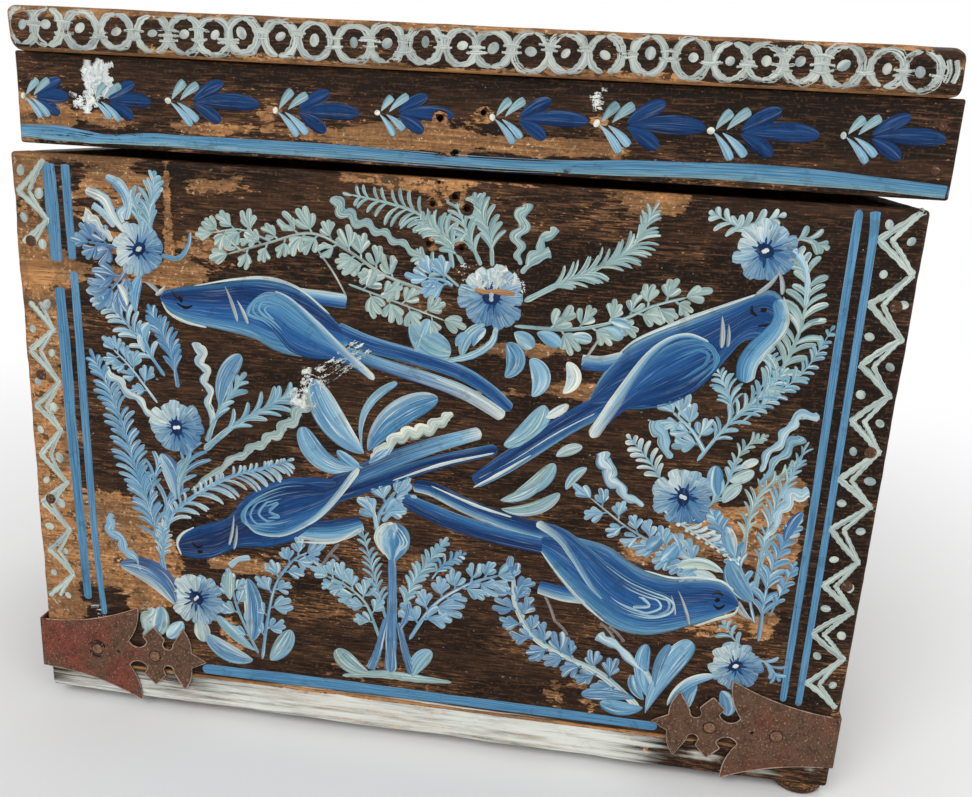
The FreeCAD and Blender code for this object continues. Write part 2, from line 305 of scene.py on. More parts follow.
boardLook = dict(
    woodLight=srgb(216, 166, 114), woodMid=srgb(188, 134, 86), woodDark=srgb(112, 79, 52),
    dirt=srgb(78, 60, 45), coatDark=srgb(24, 16, 11), coatMid=srgb(66, 45, 31), coatRed=srgb(128, 92, 62),
    chalk=srgb(220, 222, 214), raw=srgb(234, 212, 180), grit=srgb(92, 64, 44),
    woodLayers=[("Bands", 0.3, 0.7, 1.0, "woodMid"), ("Pores", 0.45, 0.75, 0.55, "woodLight"),
                ("Streaks", 0.52, 0.68, 0.75, "dirt"), ("Flecks", 0.58, 0.7, 0.85, "coatMid")],
    handledLayers=[("mottle", 0.5, 0.64, 0.55, "dirt"), ("mottle", 0.42, 0.3, 0.8, "raw")],
    coatLayers=[("wornBands", 0.35, 0.8, 1.0, "coatMid"), ("wornStreaks", 0.44, 0.58, 0.8, "coatMid"),
                ("wornStreaks", 0.56, 0.72, 0.95, "coatRed"), ("wornFlecks", 0.62, 0.72, 0.85, "woodMid"),
                ("Flecks", 0.4, 0.3, 0.8, "coatDark"), ("mottle", 0.53, 0.68, 0.6, "grit"),
                ("Streaks", 0.52, 0.64, 0.4, "grit"), ("Streaks", 0.48, 0.38, 0.75, "coatDark")],
    crumbs=dict(Scale=230.0, Amount=0.62), crumbScales=(0.6, 1, 1), crumbBands=(0.42, 0.6, 0.1, 0.8),
    stain=dict(Scale=28.0, Amount=0.72), dust=dict(Scale=420.0, Amount=0.2), spotShare=0.35,
    mottle=(430.0, 5, 0.68), rubbed=((13, 34, 34), 6, 0.62), rubbedFrom=0.54, rubbedShare=0.9,
    keptBelow=0.055, keptShare=0.75, keptBands=1.6, wornFlecks=0.6, handled=(0.49, 0.45),
    swept=((16, 330, 330), 5, 0.65), chalkShare=0.62, chalkEdge=(0.5, 0.78), roughness=(0.5, 0.82),
    streakRelief=1.4, lostRelief=-0.7, chalkRelief=0.5, bump=0.0005)


def boardMaterial(name, axis, look):
    made, tree, shader = newMaterial(name)
    where = grainVector(tree, axis)
    grain = useGroup(tree, grainGroup, Vector=where)
    bare = attribute(tree, "bare")
    lost = useGroup(tree, flakeGroup, Vector=where, Bias=bare)["Lost"]
    rubbed = calc(tree, "SUBTRACT", drawnNoise(tree, where, *look["rubbed"]), look["rubbedFrom"])
    rubbed = times(tree, rubbed, look["rubbedShare"])
    kept = calc(tree, "MINIMUM", plus(tree, bare, look["keptBelow"]), 0.0)  # less worn where bare is low
    kept = times(tree, kept, look["keptShare"])
    masks = dict(
        grain.items(), mottle=noise(tree, where, *look["mottle"]),
        wornBands=plus(tree, grain["Bands"], times(tree, kept, look["keptBands"])),
        wornStreaks=plus(tree, plus(tree, grain["Streaks"], rubbed), kept),
        wornFlecks=plus(tree, grain["Flecks"], times(tree, plus(tree, rubbed, kept), look["wornFlecks"])))
    handled = between(tree, bare, *look["handled"])  # 0 on raw wood
    crumbs = speckled(tree, scaled(tree, where, look["crumbScales"]), look["crumbs"])
    crumbs = times(tree, crumbs, between(tree, grain["Bands"], *look["crumbBands"]))
    wood = laidOver(tree, look["woodDark"], look, masks, look["woodLayers"])
    wood = blendColour(tree, times(tree, crumbs, handled), wood, look["coatDark"])  # bits of coat left
    wood = laidOver(tree, wood, look, masks, look["handledLayers"], handled)
    wood = blendColour(tree, speckled(tree, where, look["stain"], look["spotShare"]), wood, look["dirt"])
    coat = laidOver(tree, look["coatDark"], look, masks, look["coatLayers"])
    colour = blendColour(tree, lost, coat, wood)
    colour = blendColour(tree, speckled(tree, where, look["dust"], look["spotShare"]), colour, look["chalk"])
    chalk, swept = attribute(tree, "chalk"), drawnNoise(tree, where, *look["swept"])
    chalky = plus(tree, times(tree, chalk, look["chalkShare"]), times(tree, swept, look["chalkShare"]))
    chalky = between(tree, chalky, *look["chalkEdge"])
    tree.links.new(blendColour(tree, chalky, colour, look["chalk"]), shader.inputs["Base Color"])
    feed(tree, shader.inputs["Roughness"], between(tree, lost, 0.0, 1.0, *look["roughness"]))
    relief = times(tree, grain["Streaks"], look["streakRelief"])
    relief = plus(tree, relief, times(tree, lost, look["lostRelief"]))
    bumped(tree, shader, plus(tree, relief, times(tree, chalky, look["chalkRelief"])), look["bump"])
    return made


brushLook = dict(
    bristles=((1.2, 4.4, 1), 5, 0.62), load=((0.9, 1.9, 1), 3, 0.6), chips=((95, 95, 210), 6, 0.7),
    streakAndFurrowShade=(0.5, 0.57, 0.65), streakAndFurrowShadeEdge=(0.36, 0.6), bristleShare=0.6, whiteEdge=(0.52, 0.63),
    grime=dict(Scale=90.0, Amount=0.5), grimeShare=0.5, grimeTone=(0.62, 0.6, 0.58),
    chipShare=0.55, chipStart=0.24, chipWear=0.4, chipEdge=0.03, bump=0.0003)


# brushed paint: the stroke's own colours, bristle streaks along it that are darker in their furrows, partly
# as painted shade, and chips down to the board
def brushMaterial(name, look):
    made, tree, shader = newMaterial(name, 0.55)
    tone = node(tree, "Attribute", attribute_name="tone")
    uv = node(tree, "UVMap", uv_map="stroke").outputs["UV"]
    bristles, load = [drawnNoise(tree, uv, *look[kind]) for kind in ("bristles", "load")]
    where = objectVector(tree)
    # darker where the bristle marks run low: dark bristle streaks in the paint, and painted shade in the
    # furrows
    streakAndFurrowShade = blendColour(tree, 1.0, tone.outputs["Color"], look["streakAndFurrowShade"], "MULTIPLY")
    colour = blendColour(tree, between(tree, bristles, *look["streakAndFurrowShadeEdge"]), streakAndFurrowShade, tone.outputs["Color"])
    white = between(tree, weighed(tree, bristles, load, look["bristleShare"]), *look["whiteEdge"])
    colour = blendColour(tree, times(tree, white, attribute(tree, "streak")), colour, paints["cream"])
    grime = speckled(tree, where, look["grime"], look["grimeShare"])
    colour = blendColour(tree, grime, colour, look["grimeTone"], "MULTIPLY")
    tree.links.new(colour, shader.inputs["Base Color"])
    chips = weighed(tree, drawnNoise(tree, where, *look["chips"]), bristles, look["chipShare"])
    start = plus(tree, look["chipStart"], times(tree, tone.outputs["Alpha"], look["chipWear"]))
    alpha = between(tree, chips, start, plus(tree, start, look["chipEdge"]))
    tree.links.new(alpha, shader.inputs["Alpha"])
    bumped(tree, shader, bristles, look["bump"], 0.5)
    return made


ironLook = dict(
    rust=srgb(100, 74, 58), red=srgb(124, 66, 54), dark=srgb(52, 38, 31), dust=srgb(172, 154, 136),
    brown=0.18, ruddy=0.235, brownest=-0.2,  # distance in x where the red rust begins and is full
    bloom=(38.0, 6, 0.6), clouds=(120.0, 5, 0.7), fine=(620.0, 4, 0.65), metal=0.15, bump=0.0006,
    pits=dict(Scale=420.0, Amount=0.55), dusting=dict(Scale=640.0, Amount=0.45), spotShare=0.5,
    broad=[("bloom", 0.5, 0.8, 1.0, "red"), ("clouds", 0.42, 0.7, 0.55, "dark")],
    small=[("fine", 0.42, 0.3, 0.6, "dark"), ("fine", 0.58, 0.72, 0.55, "dust")])


def ironMaterial(name, look, redness):
    made, tree, shader = newMaterial(name, 0.72)
    shader.inputs["Metallic"].default_value = look["metal"]
    where = objectVector(tree)
    masks = {kind: noise(tree, where, *look[kind]) for kind in ("bloom", "clouds", "fine")}
    far = calc(tree, "ABSOLUTE", node(tree, "SeparateXYZ", Vector=where).outputs["X"])
    redder = between(tree, far, look["brown"], look["ruddy"], look["brownest"], redness)
    masks["bloom"] = plus(tree, masks["bloom"], redder)
    pits, dusting = [speckled(tree, where, look[kind], look["spotShare"]) for kind in ("pits", "dusting")]
    colour = laidOver(tree, look["rust"], look, masks, look["broad"])
    colour = blendColour(tree, pits, colour, look["dark"])
    colour = blendColour(tree, dusting, colour, look["dust"])
    colour = laidOver(tree, colour, look, masks, look["small"])
    tree.links.new(colour, shader.inputs["Base Color"])
    bumped(tree, shader, calc(tree, "SUBTRACT", masks["fine"], pits), look["bump"], 0.55)
    return made


def ironTone(name, rust, red, redness=0.0):  # the same iron in other colours
    return ironMaterial(name, dict(ironLook, rust=srgb(*rust), red=srgb(*red)), redness)


paintedAlongX = boardMaterial("paintedWoodX", "x", boardLook)
paintedAlongY = boardMaterial("paintedWoodY", "y", boardLook)
brushed = brushMaterial("brushPaint", brushLook)
ironPlain = ironMaterial("rustyIron", ironLook, 0.06)
ironRed = ironMaterial("rustyIronRed", ironLook, 0.18)
ironNail = ironTone("rustyNails", (84, 58, 44), (104, 74, 54))
# lighter iron for the strap nails: wear, and a painted highlight on their heads
ironNailWearAndHighlight = ironTone("wornHighlitNails", (132, 98, 78), (140, 100, 80))
# lighter iron for the straps' rims: worn edges, and a painted highlight along them
ironWornEdgeHighlight = ironTone("wornEdgesHighlight", (178, 154, 138), (168, 138, 122))
# nearly black iron for the collars round the nails: dirt, and painted shade round the heads
ironDirtAndShade = ironTone("nailDirtAndShade", (38, 27, 21), (46, 31, 24))
print("materials made")


def link(made):
    bpy.context.scene.collection.objects.link(made)


def addMesh(name, points, polygons, material, body):
    mesh = bpy.data.meshes.new(name)
    mesh.from_pydata(points.tolist(), [], polygons)
    mesh.materials.append(material)
    mesh.polygons.foreach_set("use_smooth", np.full(len(mesh.polygons), True))
    mesh.update()
    made = bpy.data.objects.new(name, mesh)
    link(made)
    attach(made, body)
    return made


def store(piece, name, values):  # one number or one colour per vertex
    kind = "FLOAT_COLOR" if values.ndim == 2 else "FLOAT"
    layer = piece.data.attributes.new(name, kind, "POINT")
    layer.data.foreach_set("color" if values.ndim == 2 else "value", values.astype(np.float32).ravel())


def merged(points):  # the first of every set of equal points, and which of those each point is
    whole = np.round(points * 1e6).astype(np.int64)
    _, first, same = np.unique(whole, axis=0, return_index=True, return_inverse=True)
    return first, same.reshape(-1)


# faces of a grid of point numbers; closed joins the last column to the first
def gridQuads(index, closed=False):
    if closed:
        index = np.concatenate([index, index[:, :1]], axis=1)
    return np.stack([index[:-1, :-1], index[1:, :-1], index[1:, 1:], index[:-1, 1:]], -1).reshape(-1, 4)


def tubeFaces(index):  # faces of a tube, whose rows go round it, and a cap at each end
    return gridQuads(index, True).tolist() + [index[0].tolist(), index[-1][::-1].tolist()]


def circle(count):  # angles of points evenly round it
    return np.linspace(0, 2 * pi, count + 1)[:-1]


def unit(rows):  # each row as a direction of length 1
    return rows / np.linalg.norm(rows, axis=1, keepdims=True)


# smooth noise: plane waves of about that length, added up
def ripple(points, size, seed, waves=8, pace=3.7, swing=1.6):
    own = np.random.default_rng(seed)
    ways = own.normal(size=(waves, 3)) * (pace / size)
    return np.sin(points @ ways.T + own.uniform(0, anyTurn, waves)).mean(1) * swing


# worn edges, in edge radii or metres: grid lines near an edge, where the even ones begin, lengths of the
# long and the short dents, how deep the short ones are, least and most radius
edgeLook = dict(near=(0, 0.4, 0.8, 1.2, 1.7), even=2.4, long=0.05, short=0.013, shortShare=0.5, least=0.35,
                most=2.3)


def gridLines(low, high, radius, cell):  # close together in the rounded edge, then even
    near, inset = radius * np.array(edgeLook["near"]), radius * edgeLook["even"]
    inner = np.linspace(low + inset, high - inset, max(2, round((high - low) / cell)))
    return np.concatenate([low + near, inner, (high - near)[::-1]])


def wornRadius(points, radius, wear, seed):  # the edge's radius, which varies along it
    dents = ripple(points, edgeLook["long"], seed)
    dents = dents + edgeLook["shortShare"] * ripple(points, edgeLook["short"], seed + 1)
    return radius * np.clip(1 + wear * dents, edgeLook["least"], edgeLook["most"])


# a board: the skin of a box on a grid, its points drawn to within the edge's radius of an inner box
def boardSkin(low, high, radius, cell, wear, seed):
    lines = [gridLines(low[a], high[a], radius, cell) for a in range(3)]
    points, quads, total = [], [], 0
    for axis in range(3):
        a, b = (axis + 1) % 3, (axis + 2) % 3
        ga, gb = np.meshgrid(lines[a], lines[b], indexing="ij")
        quad = gridQuads(np.arange(ga.size).reshape(ga.shape))
        for side in (low, high):
            flat = np.empty((ga.size, 3))
            flat[:, axis], flat[:, a], flat[:, b] = side[axis], ga.ravel(), gb.ravel()
            points.append(flat)
            quads.append((quad if side is high else quad[:, ::-1]) + total)
            total += ga.size
    points, quads = np.concatenate(points), np.concatenate(quads)
    first, same = merged(points)
    points, quads = points[first], same[quads]
    worn = wornRadius(points, radius, wear, seed)[:, None]
    core = np.clip(points, low + worn, high - worn)
    away = points - core
    return core + worn * away / np.maximum(np.linalg.norm(away, axis=1, keepdims=True), 1e-9), quads


def spread(x, z, spots):  # sum of soft oval spots: (x, z, half width, half height, amount)
    total = np.zeros(len(x))
    for cx, cz, rx, rz, amount in spots:
        total += amount * np.exp(-(((x - cx) / rx) ** 2 + ((z - cz) / rz) ** 2) ** 1.5)
    return total


# boards: edge radius in mm and its wear, ground level of bareness, spots where the coat is lost (a spot with
# a negative amount darkens the coat instead), spots of white smear, how far in mm from the front the spots
# reach, and which side of the board is raw wood
boardRest = dict(cell=7.0, deep=9999.0, chalk=[])  # where nothing else is given; cell: mm between points
plainBoard = dict(radius=2.6, wear=0.55, level=-0.03, edge=0.12)
plainRail = dict(radius=1.6, wear=0.4, level=-0.02, edge=0.1)
boards = dict(
    front_board=dict(
        radius=2.6, wear=0.55, level=-0.055, raw="back", edge=0.07, cell=4.5,
        bare=[(-271, 200, 17, 240, 0.22), (-212, 352, 36, 40, 0.24), (-150, 334, 30, 20, 0.2),
            (-138, 372, 28, 11, 0.17), (-172, 374, 34, 9, 0.1), (-180, 312, 36, 10, 0.2),
            (-255, 310, 26, 10, 0.28), (-268, 310, 18, 44, 0.2), (-252, 190, 18, 110, 0.14),
            (-262, 85, 26, 70, 0.2), (-218, 135, 28, 34, 0.3), (-205, 98, 34, 28, 0.26),
            (-150, 146, 30, 12, 0.14), (-125, 117, 40, 12, 0.24), (88, 270, 40, 8, 0.19),
            (30, 280, 22, 12, 0.12), (60, 256, 50, 7, 0.14), (190, 178, 44, 24, 0.3),
            (222, 206, 18, 22, 0.28), (192, 114, 38, 15, 0.28), (146, 158, 26, 13, 0.26),
            (228, 150, 13, 46, 0.2), (277, 70, 7, 60, 0.12), (118, 378, 34, 7, 0.17),
            (40, 388, 130, 5, 0.16), (-30, 382, 60, 7, 0.18), (-230, 388, 50, 5, 0.24),
            (-176, 350, 2.0, 45, 0.18), (4, 358, 16, 26, 0.1), (-80, 330, 50, 26, -0.06),
            (-210, 284, 26, 22, -0.1), (-250, 85, 12, 14, -0.16), (80, 200, 60, 40, 0.03),
            (262, 235, 24, 180, -0.16), (226, 310, 36, 70, -0.14), (130, 340, 100, 26, -0.1),
            (30, 46, 250, 20, 0.11), (-190, 118, 18, 34, 0.2), (-140, 72, 24, 22, 0.14),
            (128, 48, 40, 12, 0.05), (66, 284, 34, 8, 0.18), (100, 262, 26, 5, 0.2), (-6.5, 371, 6, 4, 0.24),
            (7, 376, 6, 4, 0.24), (14.5, 369.5, 6, 4, 0.24), (12, 345.5, 4, 4, 0.24), (-8, 347, 4, 4, 0.24)],
        chalk=[(-240, 70, 16, 12, 0.25), (-226, 130, 12, 26, 0.3), (0, 24, 172, 3, 0.62)]),
    back_board=dict(
        plainBoard, raw="front",
        bare=[(-150, 120, 90, 50, 0.14), (170, 300, 70, 50, 0.16), (0, 20, 260, 14, 0.12)]),
    left_side_board=dict(plainBoard, raw="right", bare=[(0, 120, 90, 60, 0.15), (-80, 320, 60, 40, 0.16)]),
    right_side_board=dict(plainBoard, raw="left", bare=[(40, 90, 80, 50, 0.15), (90, 330, 60, 40, 0.14)]),
    bottom_board=dict(
        radius=2.2, wear=0.5, level=-0.01, raw="top", edge=0.0, deep=40,
        bare=[(245, 12, 60, 30, -0.12), (0, 12, 190, 40, 0.17)],
        chalk=[(0, 12, 184, 60, 0.62), (128, 12, 40, 40, 0.24), (-140, 12, 40, 40, 0.2),
            (-240, 8, 60, 20, 0.56), (232, 7, 26, 5, 0.42), (196, 14, 14, 5, 0.5), (268, 12, 8, 6, 0.5)]),
    lid_top_board=dict(
        radius=5.2, wear=0.4, level=-0.05, raw="bottom", edge=0.07, deep=14,
        bare=[(-220, 474, 110, 8, 0.26), (-60, 474, 120, 6, 0.24), (90, 474, 150, 5, 0.24),
            (-276, 460, 9, 20, 0.2), (240, 473, 40, 4, 0.16), (100, 450, 60, 5, 0.14),
            (-60, 449, 200, 3, 0.12), (215, 460, 60, 12, -0.1), (282, 460, 8, 16, 0.12)],
        chalk=[(-24, 477, 40, 5, 0.62), (60, 476, 16, 4, 0.5), (-230, 477, 30, 3, 0.4),
            (-90, 477, 60, 4, 0.45)]),
    lid_front_rail=dict(
        radius=1.6, wear=0.4, level=-0.04, raw="back", edge=0.06, cell=3.0,
        bare=[(-245, 411, 34, 8, 0.18), (-205, 408, 20, 7, 0.16), (-150, 406, 26, 8, 0.2),
            (-95, 407, 40, 6, 0.22), (-262, 409, 24, 14, 0.34), (205, 425, 100, 30, -0.16),
            (-35, 408, 46, 8, 0.24), (-15, 414, 34, 10, 0.21), (60, 408, 30, 7, 0.2), (22, 421, 14, 6, 0.17),
            (30, 408, 40, 6, 0.17), (90, 424, 8, 9, 0.18), (95, 408, 34, 6, 0.15), (115, 436, 40, 8, 0.11),
            (-110, 418, 10, 5, 0.18), (235, 408, 50, 4, 0.2), (-190, 428, 26, 6, 0.1),
            # the first spot on the next line darkens the band along the top of the rail: painted shade under
            # the overhang of the lid top, partly dark paint and dirt as well
            (0, 442, 300, 9, -0.18), (0, 393, 280, 3, 0.1),
            (-4, 421, 5, 5, 0.2), (6, 401.5, 6, 5, 0.2), (21.5, 425.5, 6, 5, 0.2)]),
    lid_back_rail=dict(plainRail, raw="front", bare=[]),
    lid_left_rail=dict(plainRail, raw="right", bare=[(60, 415, 60, 14, 0.16)]),
    lid_right_rail=dict(plainRail, raw="left", bare=[(-60, 415, 60, 14, 0.16)]))
outwards = dict(back=(1, 1), front=(1, -1), right=(0, 1), left=(0, -1), top=(2, 1), bottom=(2, -1))
# share of the thickness, bareness there, mm from an edge
boardWear = dict(rawFrom=0.45, rawBare=0.5, edgeReach=5.0)


def makeBoard(name, made):
    tilt = lidTilt if name.startswith("lid") else 0.0
    low, high = nodeBox(name, tilt)
    points, quads = boardSkin(low, high, made["radius"] * mm, made["cell"] * mm, made["wear"], made["seed"])
    sideways = "left" in name or "right" in name
    x = (points[:, 1] - (low[1] + high[1]) / 2 if sideways else points[:, 0] - bodyX) / mm
    z = (points[:, 2] - baseZ + ajarRise(low[1], tilt)) / mm
    axis, sign = outwards[made["raw"]]
    middle, thick = (low[axis] + high[axis]) / 2, high[axis] - low[axis]
    inside = (points[:, axis] - middle) * sign > boardWear["rawFrom"] * thick
    near = np.sort(np.minimum(points - low, high - points), axis=1)[:, 1]
    fade = np.exp(-((points[:, 1] - low[1]) / (made["deep"] * mm)) ** 2)
    rubbed = made["edge"] * np.exp(-near / (boardWear["edgeReach"] * mm))
    bare = made["level"] + fade * spread(x, z, made["bare"]) + rubbed
    piece = addMesh(name + "_worn", tilted(points, tilt), quads.tolist(),
                    paintedAlongY if sideways else paintedAlongX, "lid" if tilt else "chest")
    store(piece, "bare", np.where(inside, boardWear["rawBare"], bare))
    store(piece, "chalk", np.where(inside, 0.0, fade * spread(x, z, made["chalk"])))
    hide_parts(name)
    return piece


boards = {name: {**boardRest, **made, "seed": 20 + 3 * i} for i, (name, made) in enumerate(boards.items())}
worn = {name: makeBoard(name, made) for name, made in boards.items()}
print("boards made")

# old nail holes of the lost lock, bored into the boards: (x, z, radius) in mm
lockHoles = dict(
    front_board=[(-6.5, 371, 1.9), (-3, 384, 1.0), (7, 376, 2.0), (14.5, 369.5, 2.0), (12, 345.5, 2.0),
        (-8, 347, 1.8)],
    lid_front_rail=[(6, 401.5, 2.0), (-4, 421, 1.8), (21.5, 425.5, 1.6), (69.5, 395.5, 1.5)])
bore = dict(sides=12, ends=(-8.0, 3.0))  # ends in mm out of the face


def borers(face, holes):  # short round bars through the face, one for each hole
    x, z, radius = np.array(holes).T[:, :, None, None]
    around = circle(bore["sides"])
    height = np.array(bore["ends"])[:, None]
    points = onFace(face, x + radius * np.cos(around), z + radius * np.sin(around), height)
    index = np.arange(points[..., 0].size).reshape(points.shape[:3])
    mesh = bpy.data.meshes.new("borer")
    mesh.from_pydata(points.reshape(-1, 3).tolist(), [], sum([tubeFaces(bar[:, ::-1]) for bar in index], []))
    return bpy.data.objects.new("borer", mesh)


for face in (faces["front"], faces["rail"]):
    piece = worn[face["board"]]
    cutter = borers(face, lockHoles[face["board"]])
    link(cutter)
    cut = piece.modifiers.new("holes", "BOOLEAN")
    cut.object, cut.operation, cut.solver = cutter, "DIFFERENCE", "EXACT"
    bpy.context.view_layer.update()
    done = bpy.data.meshes.new_from_object(piece.evaluated_get(bpy.context.evaluated_depsgraph_get()))
    piece.modifiers.remove(cut)
    piece.data = done
    bpy.data.objects.remove(cutter)
print("lock holes bored")


# strokes: each is a thin closed shell between a left and a right edge curve, domed across;
# a book collects strokes, and strokes with the same grid are built together
def places(count):  # from 0 to 1 along a stroke, closer together at both ends
    return 0.5 - 0.5 * np.cos(np.linspace(0, pi, count))


shortT, ridgeT, shapeT, longT = [places(count) for count in (9, 17, 33, 49)]
waveT = np.linspace(0, 1, 97)
# lift: how high the layer lies, thick: height of the dome, wear: how much has chipped off, across: points
# from edge to edge, far: colour at the tip, late: how close to the tip the colour turns to it
strokeLook = dict(lift=0.1, thick=0.22, wear=0.1, across=5, far=None, late=1.3)
shades = (0.9, 1.08)  # from stroke to stroke


def curve(points, t):  # through the points; every span is a cubic whose end slopes follow its neighbours
    p = np.array(points, float)
    p = np.vstack([2 * p[0] - p[1], p, 2 * p[-1] - p[-2]])
    at = np.minimum(t * (len(points) - 1), len(points) - 1 - 1e-9)
    i = at.astype(int)
    f = (at - i)[:, None]
    a, b, c, d = p[i], p[i + 1], p[i + 2], p[i + 3]
    squared = (2 * a - 5 * b + 4 * c - d) * f ** 2
    return 0.5 * (2 * b + (c - a) * f + squared + (3 * b - a - 3 * c + d) * f ** 3)


def normals(path):  # to the left of the way along the path
    step = np.gradient(path, axis=0)
    step /= np.linalg.norm(step, axis=1, keepdims=True) + 1e-9
    return np.stack([-step[:, 1], step[:, 0]], 1)


def toward(angle):  # direction on a face, in radians from x
    return np.array([cos(angle), sin(angle)])


def toned(a, b, share):  # colour that share of the way from a to b
    return a + (b - a) * share


def toneAt(colours, place):  # colours at places across a stroke, 0 at its left edge
    at = np.linspace(0, 1, len(colours))
    return np.stack([np.interp(place, at, colours[:, k]) for k in range(3)], -1)


def lighter(tone, amount):  # dark blues go to sky blue, light ones to cream
    return toned(tone, paints["sky" if tone.mean() < 0.2 else "cream"], amount)


def widths(width, t):  # along a path, from one number or several evenly spaced ones
    return np.interp(t, np.linspace(0, 1, np.size(width)), np.atleast_1d(width))


def bowed(base, tip, bend, t):  # path from base to tip, bent to the left by a share of its length
    base, tip = np.array(base, float), np.array(tip, float)
    way = tip - base
    side = np.array([-way[1], way[0]])
    return base + t[:, None] * way + (4 * t * (1 - t))[:, None] * side * bend


def roundEnds(near, least=0.06):  # share of the width at an end; near goes from 0 to 1 along the rounding
    return np.sqrt(least + (1 - least) * np.clip(near, 0, 1))


def shape(book, left, right, colours, **look):
    shade = pick(shades)
    book.append(dict(strokeLook, left=left, right=right, colours=tones(colours) * shade, **look))


def stroke(book, path, half, colours, **look):  # half: half the width along the path
    out = normals(path) * np.asarray(half)[:, None]
    shape(book, path + out, path - out, colours, **look)


dabLook = dict(least=0.05, swell=0.85, scale=0.4842)  # scale: the broadest place gets about the full width


def dab(book, base, tip, width, colours, bend=0.0, blunt=0.42, **look):
    full = shortT ** dabLook["swell"] * (1 - shortT) ** blunt / dabLook["scale"]
    half = width * (dabLook["least"] + (1 - dabLook["least"]) * full) / 2
    stroke(book, bowed(base, tip, bend, shortT), half, colours, **look)


wobbleLook = dict(waves=(20, 46), phase=(0, 6))


def line(book, points, width, colours, rounded=0.03, shake=0.06, **look):
    half = 0.5 * widths(width, longT) * roundEnds(np.minimum(longT, 1 - longT) / rounded)
    wobble = np.sin(longT * pick(wobbleLook["waves"]) + pick(wobbleLook["phase"]))
    stroke(book, curve(points, longT), half * (1 + shake * wobble), colours, **look)


# wave: radians in one, calm: shortens the stretch at each end where the waves grow, pulse: swelling of the
# width in every wave
ribbonLook = dict(wave=6.283, calm=6, leastSway=0.2, phase=(0, 6), headRound=1.6, rounded=0.05, pulse=0.18)


def ribbon(book, points, width, waves, sway, colours):
    look, path, full = ribbonLook, curve(points, waveT), widths(width, waveT)
    grow = np.clip(waveT * look["calm"], 0, 1) * np.clip((1 - waveT) * look["calm"], look["leastSway"], 1)
    turns = waveT * look["wave"] * waves
    path = path + normals(path) * (sway * full * grow * np.sin(turns + pick(look["phase"])))[:, None]
    ends = roundEnds(np.minimum(waveT * look["headRound"], 1 - waveT) / look["rounded"])
    half = 0.5 * full * ends * (1 + look["pulse"] * np.cos(2 * turns))
    stroke(book, path, half, colours, lift=0.12, thick=0.3)


def lens(book, upper, lower, colours, **look):  # filled between two curves
    shape(book, curve(upper, shapeT), curve(lower, shapeT), colours, **look)


leafLook = dict(least=0.02, ridgesAt=(-0.45, -0.1, 0.25, 0.55), pale=(0.1, 1.0), ridgeWide=0.045,
                ridgeLeast=0.02)


def leaf(book, base, tip, width, colours, bend=0.0, belly=0.5, ridges=0.4, lift=0.13, wear=0.1):
    look, colours, path = leafLook, tones(colours), bowed(base, tip, bend, shapeT)
    # broadest further out as belly rises
    full = shapeT ** (1.3 * belly) * (1 - shapeT) ** (0.9 - 0.7 * belly)
    half = width * (look["least"] + (1 - look["least"]) * full / full.max()) / 2
    stroke(book, path, half, colours, lift=lift, wear=wear, thick=0.28, across=9)
    for f in look["ridgesAt"]:  # bristle marks along the leaf
        ridge = path + normals(path) * (half * f)[:, None]
        tone = colours[int(round((0.5 - f / 2) * (len(colours) - 1)))]
        pale = lighter(tone, pick(look["pale"]) * ridges)
        thin = look["ridgeLeast"] + look["ridgeWide"] * width * np.sin(ridgeT * pi)
        stroke(book, curve(ridge[3:-4:5], ridgeT), thin, pale[None, :], lift=lift + 0.12, wear=wear + 0.2,
               thick=0.12, across=3)


dotLook = dict(long=(0.95, 1.2), wide=(0.85, 1.05), least=0.012)


def dot(book, centre, radius, colours, lift=0.16, wear=0.06):
    way = toward(dice.uniform(0, anyTurn))
    path = np.array(centre) + np.cos(pi * (1 - shortT))[:, None] * way * radius * pick(dotLook["long"])
    half = radius * np.sqrt(np.maximum(np.sin(pi * shortT) ** 2, dotLook["least"]))
    stroke(book, path, half * pick(dotLook["wide"]), colours, lift=lift, wear=wear, thick=0.3)


def edgeDrop(face, flat):  # mm by which the board's rounded edge lies behind its face
    made = boards[face["board"]]
    low, high = nodeBox(face["board"], face["tilt"])
    points = onShutFace(face, flat[..., 0], flat[..., 1], 0.0).reshape(-1, 3)
    radius = wornRadius(points, made["radius"] * mm, made["wear"], made["seed"])
    near = np.minimum(points - low, high - points)
    over = np.hypot(np.maximum(0, radius - near[:, 0]), np.maximum(0, radius - near[:, 2]))
    return ((radius - np.sqrt(np.maximum(radius ** 2 - over ** 2, 0))) / mm).reshape(flat.shape[:-1])


# film: shares of lift and thick that are built, mm that the rim goes into the wood, its share of the width,
# how much darker the edge is, how flat the ends are; bristle: mm of stroke in one unit of the pattern
paintFilm = dict(layer=0.22, dome=0.4, sink=0.05, rim=0.08, darker=0.2, taper=8, flattest=0.3,
                 bristleLong=40.0, bristleWide=4.0, bristleShift=60, leastBristle=0.1)
chipped = dict(wear=1.6, reach=2.2)  # round the old holes, mm past their edge


# colours on a stroke's grid: across it, then towards its tip
def strokeTones(made, v, steps, swapped, vary):
    row = toneAt(made["colours"] if swapped else made["colours"][::-1], v)
    tone, tip = np.tile(row, (steps, 1, 1)), made["far"]
    if tip is not None:
        gone = (np.linspace(0, 1, steps) ** made["late"])[:, None, None]
        pale = tip.mean() > 0.5 and row.mean() < 0.25  # dark blue turns to cream by way of sky blue
        halfway = paints["sky"] if pale else (row + tip) / 2
        tone += np.minimum(2 * gone, 1) * (halfway - row)
        tone += np.maximum(2 * gone - 1, 0) * (tip - halfway)
    tone = toned(tone, paints["cream"], vary * dice.random())
    return tone * (1 - paintFilm["darker"] * np.abs(2 * v - 1) ** 3)[:, None]


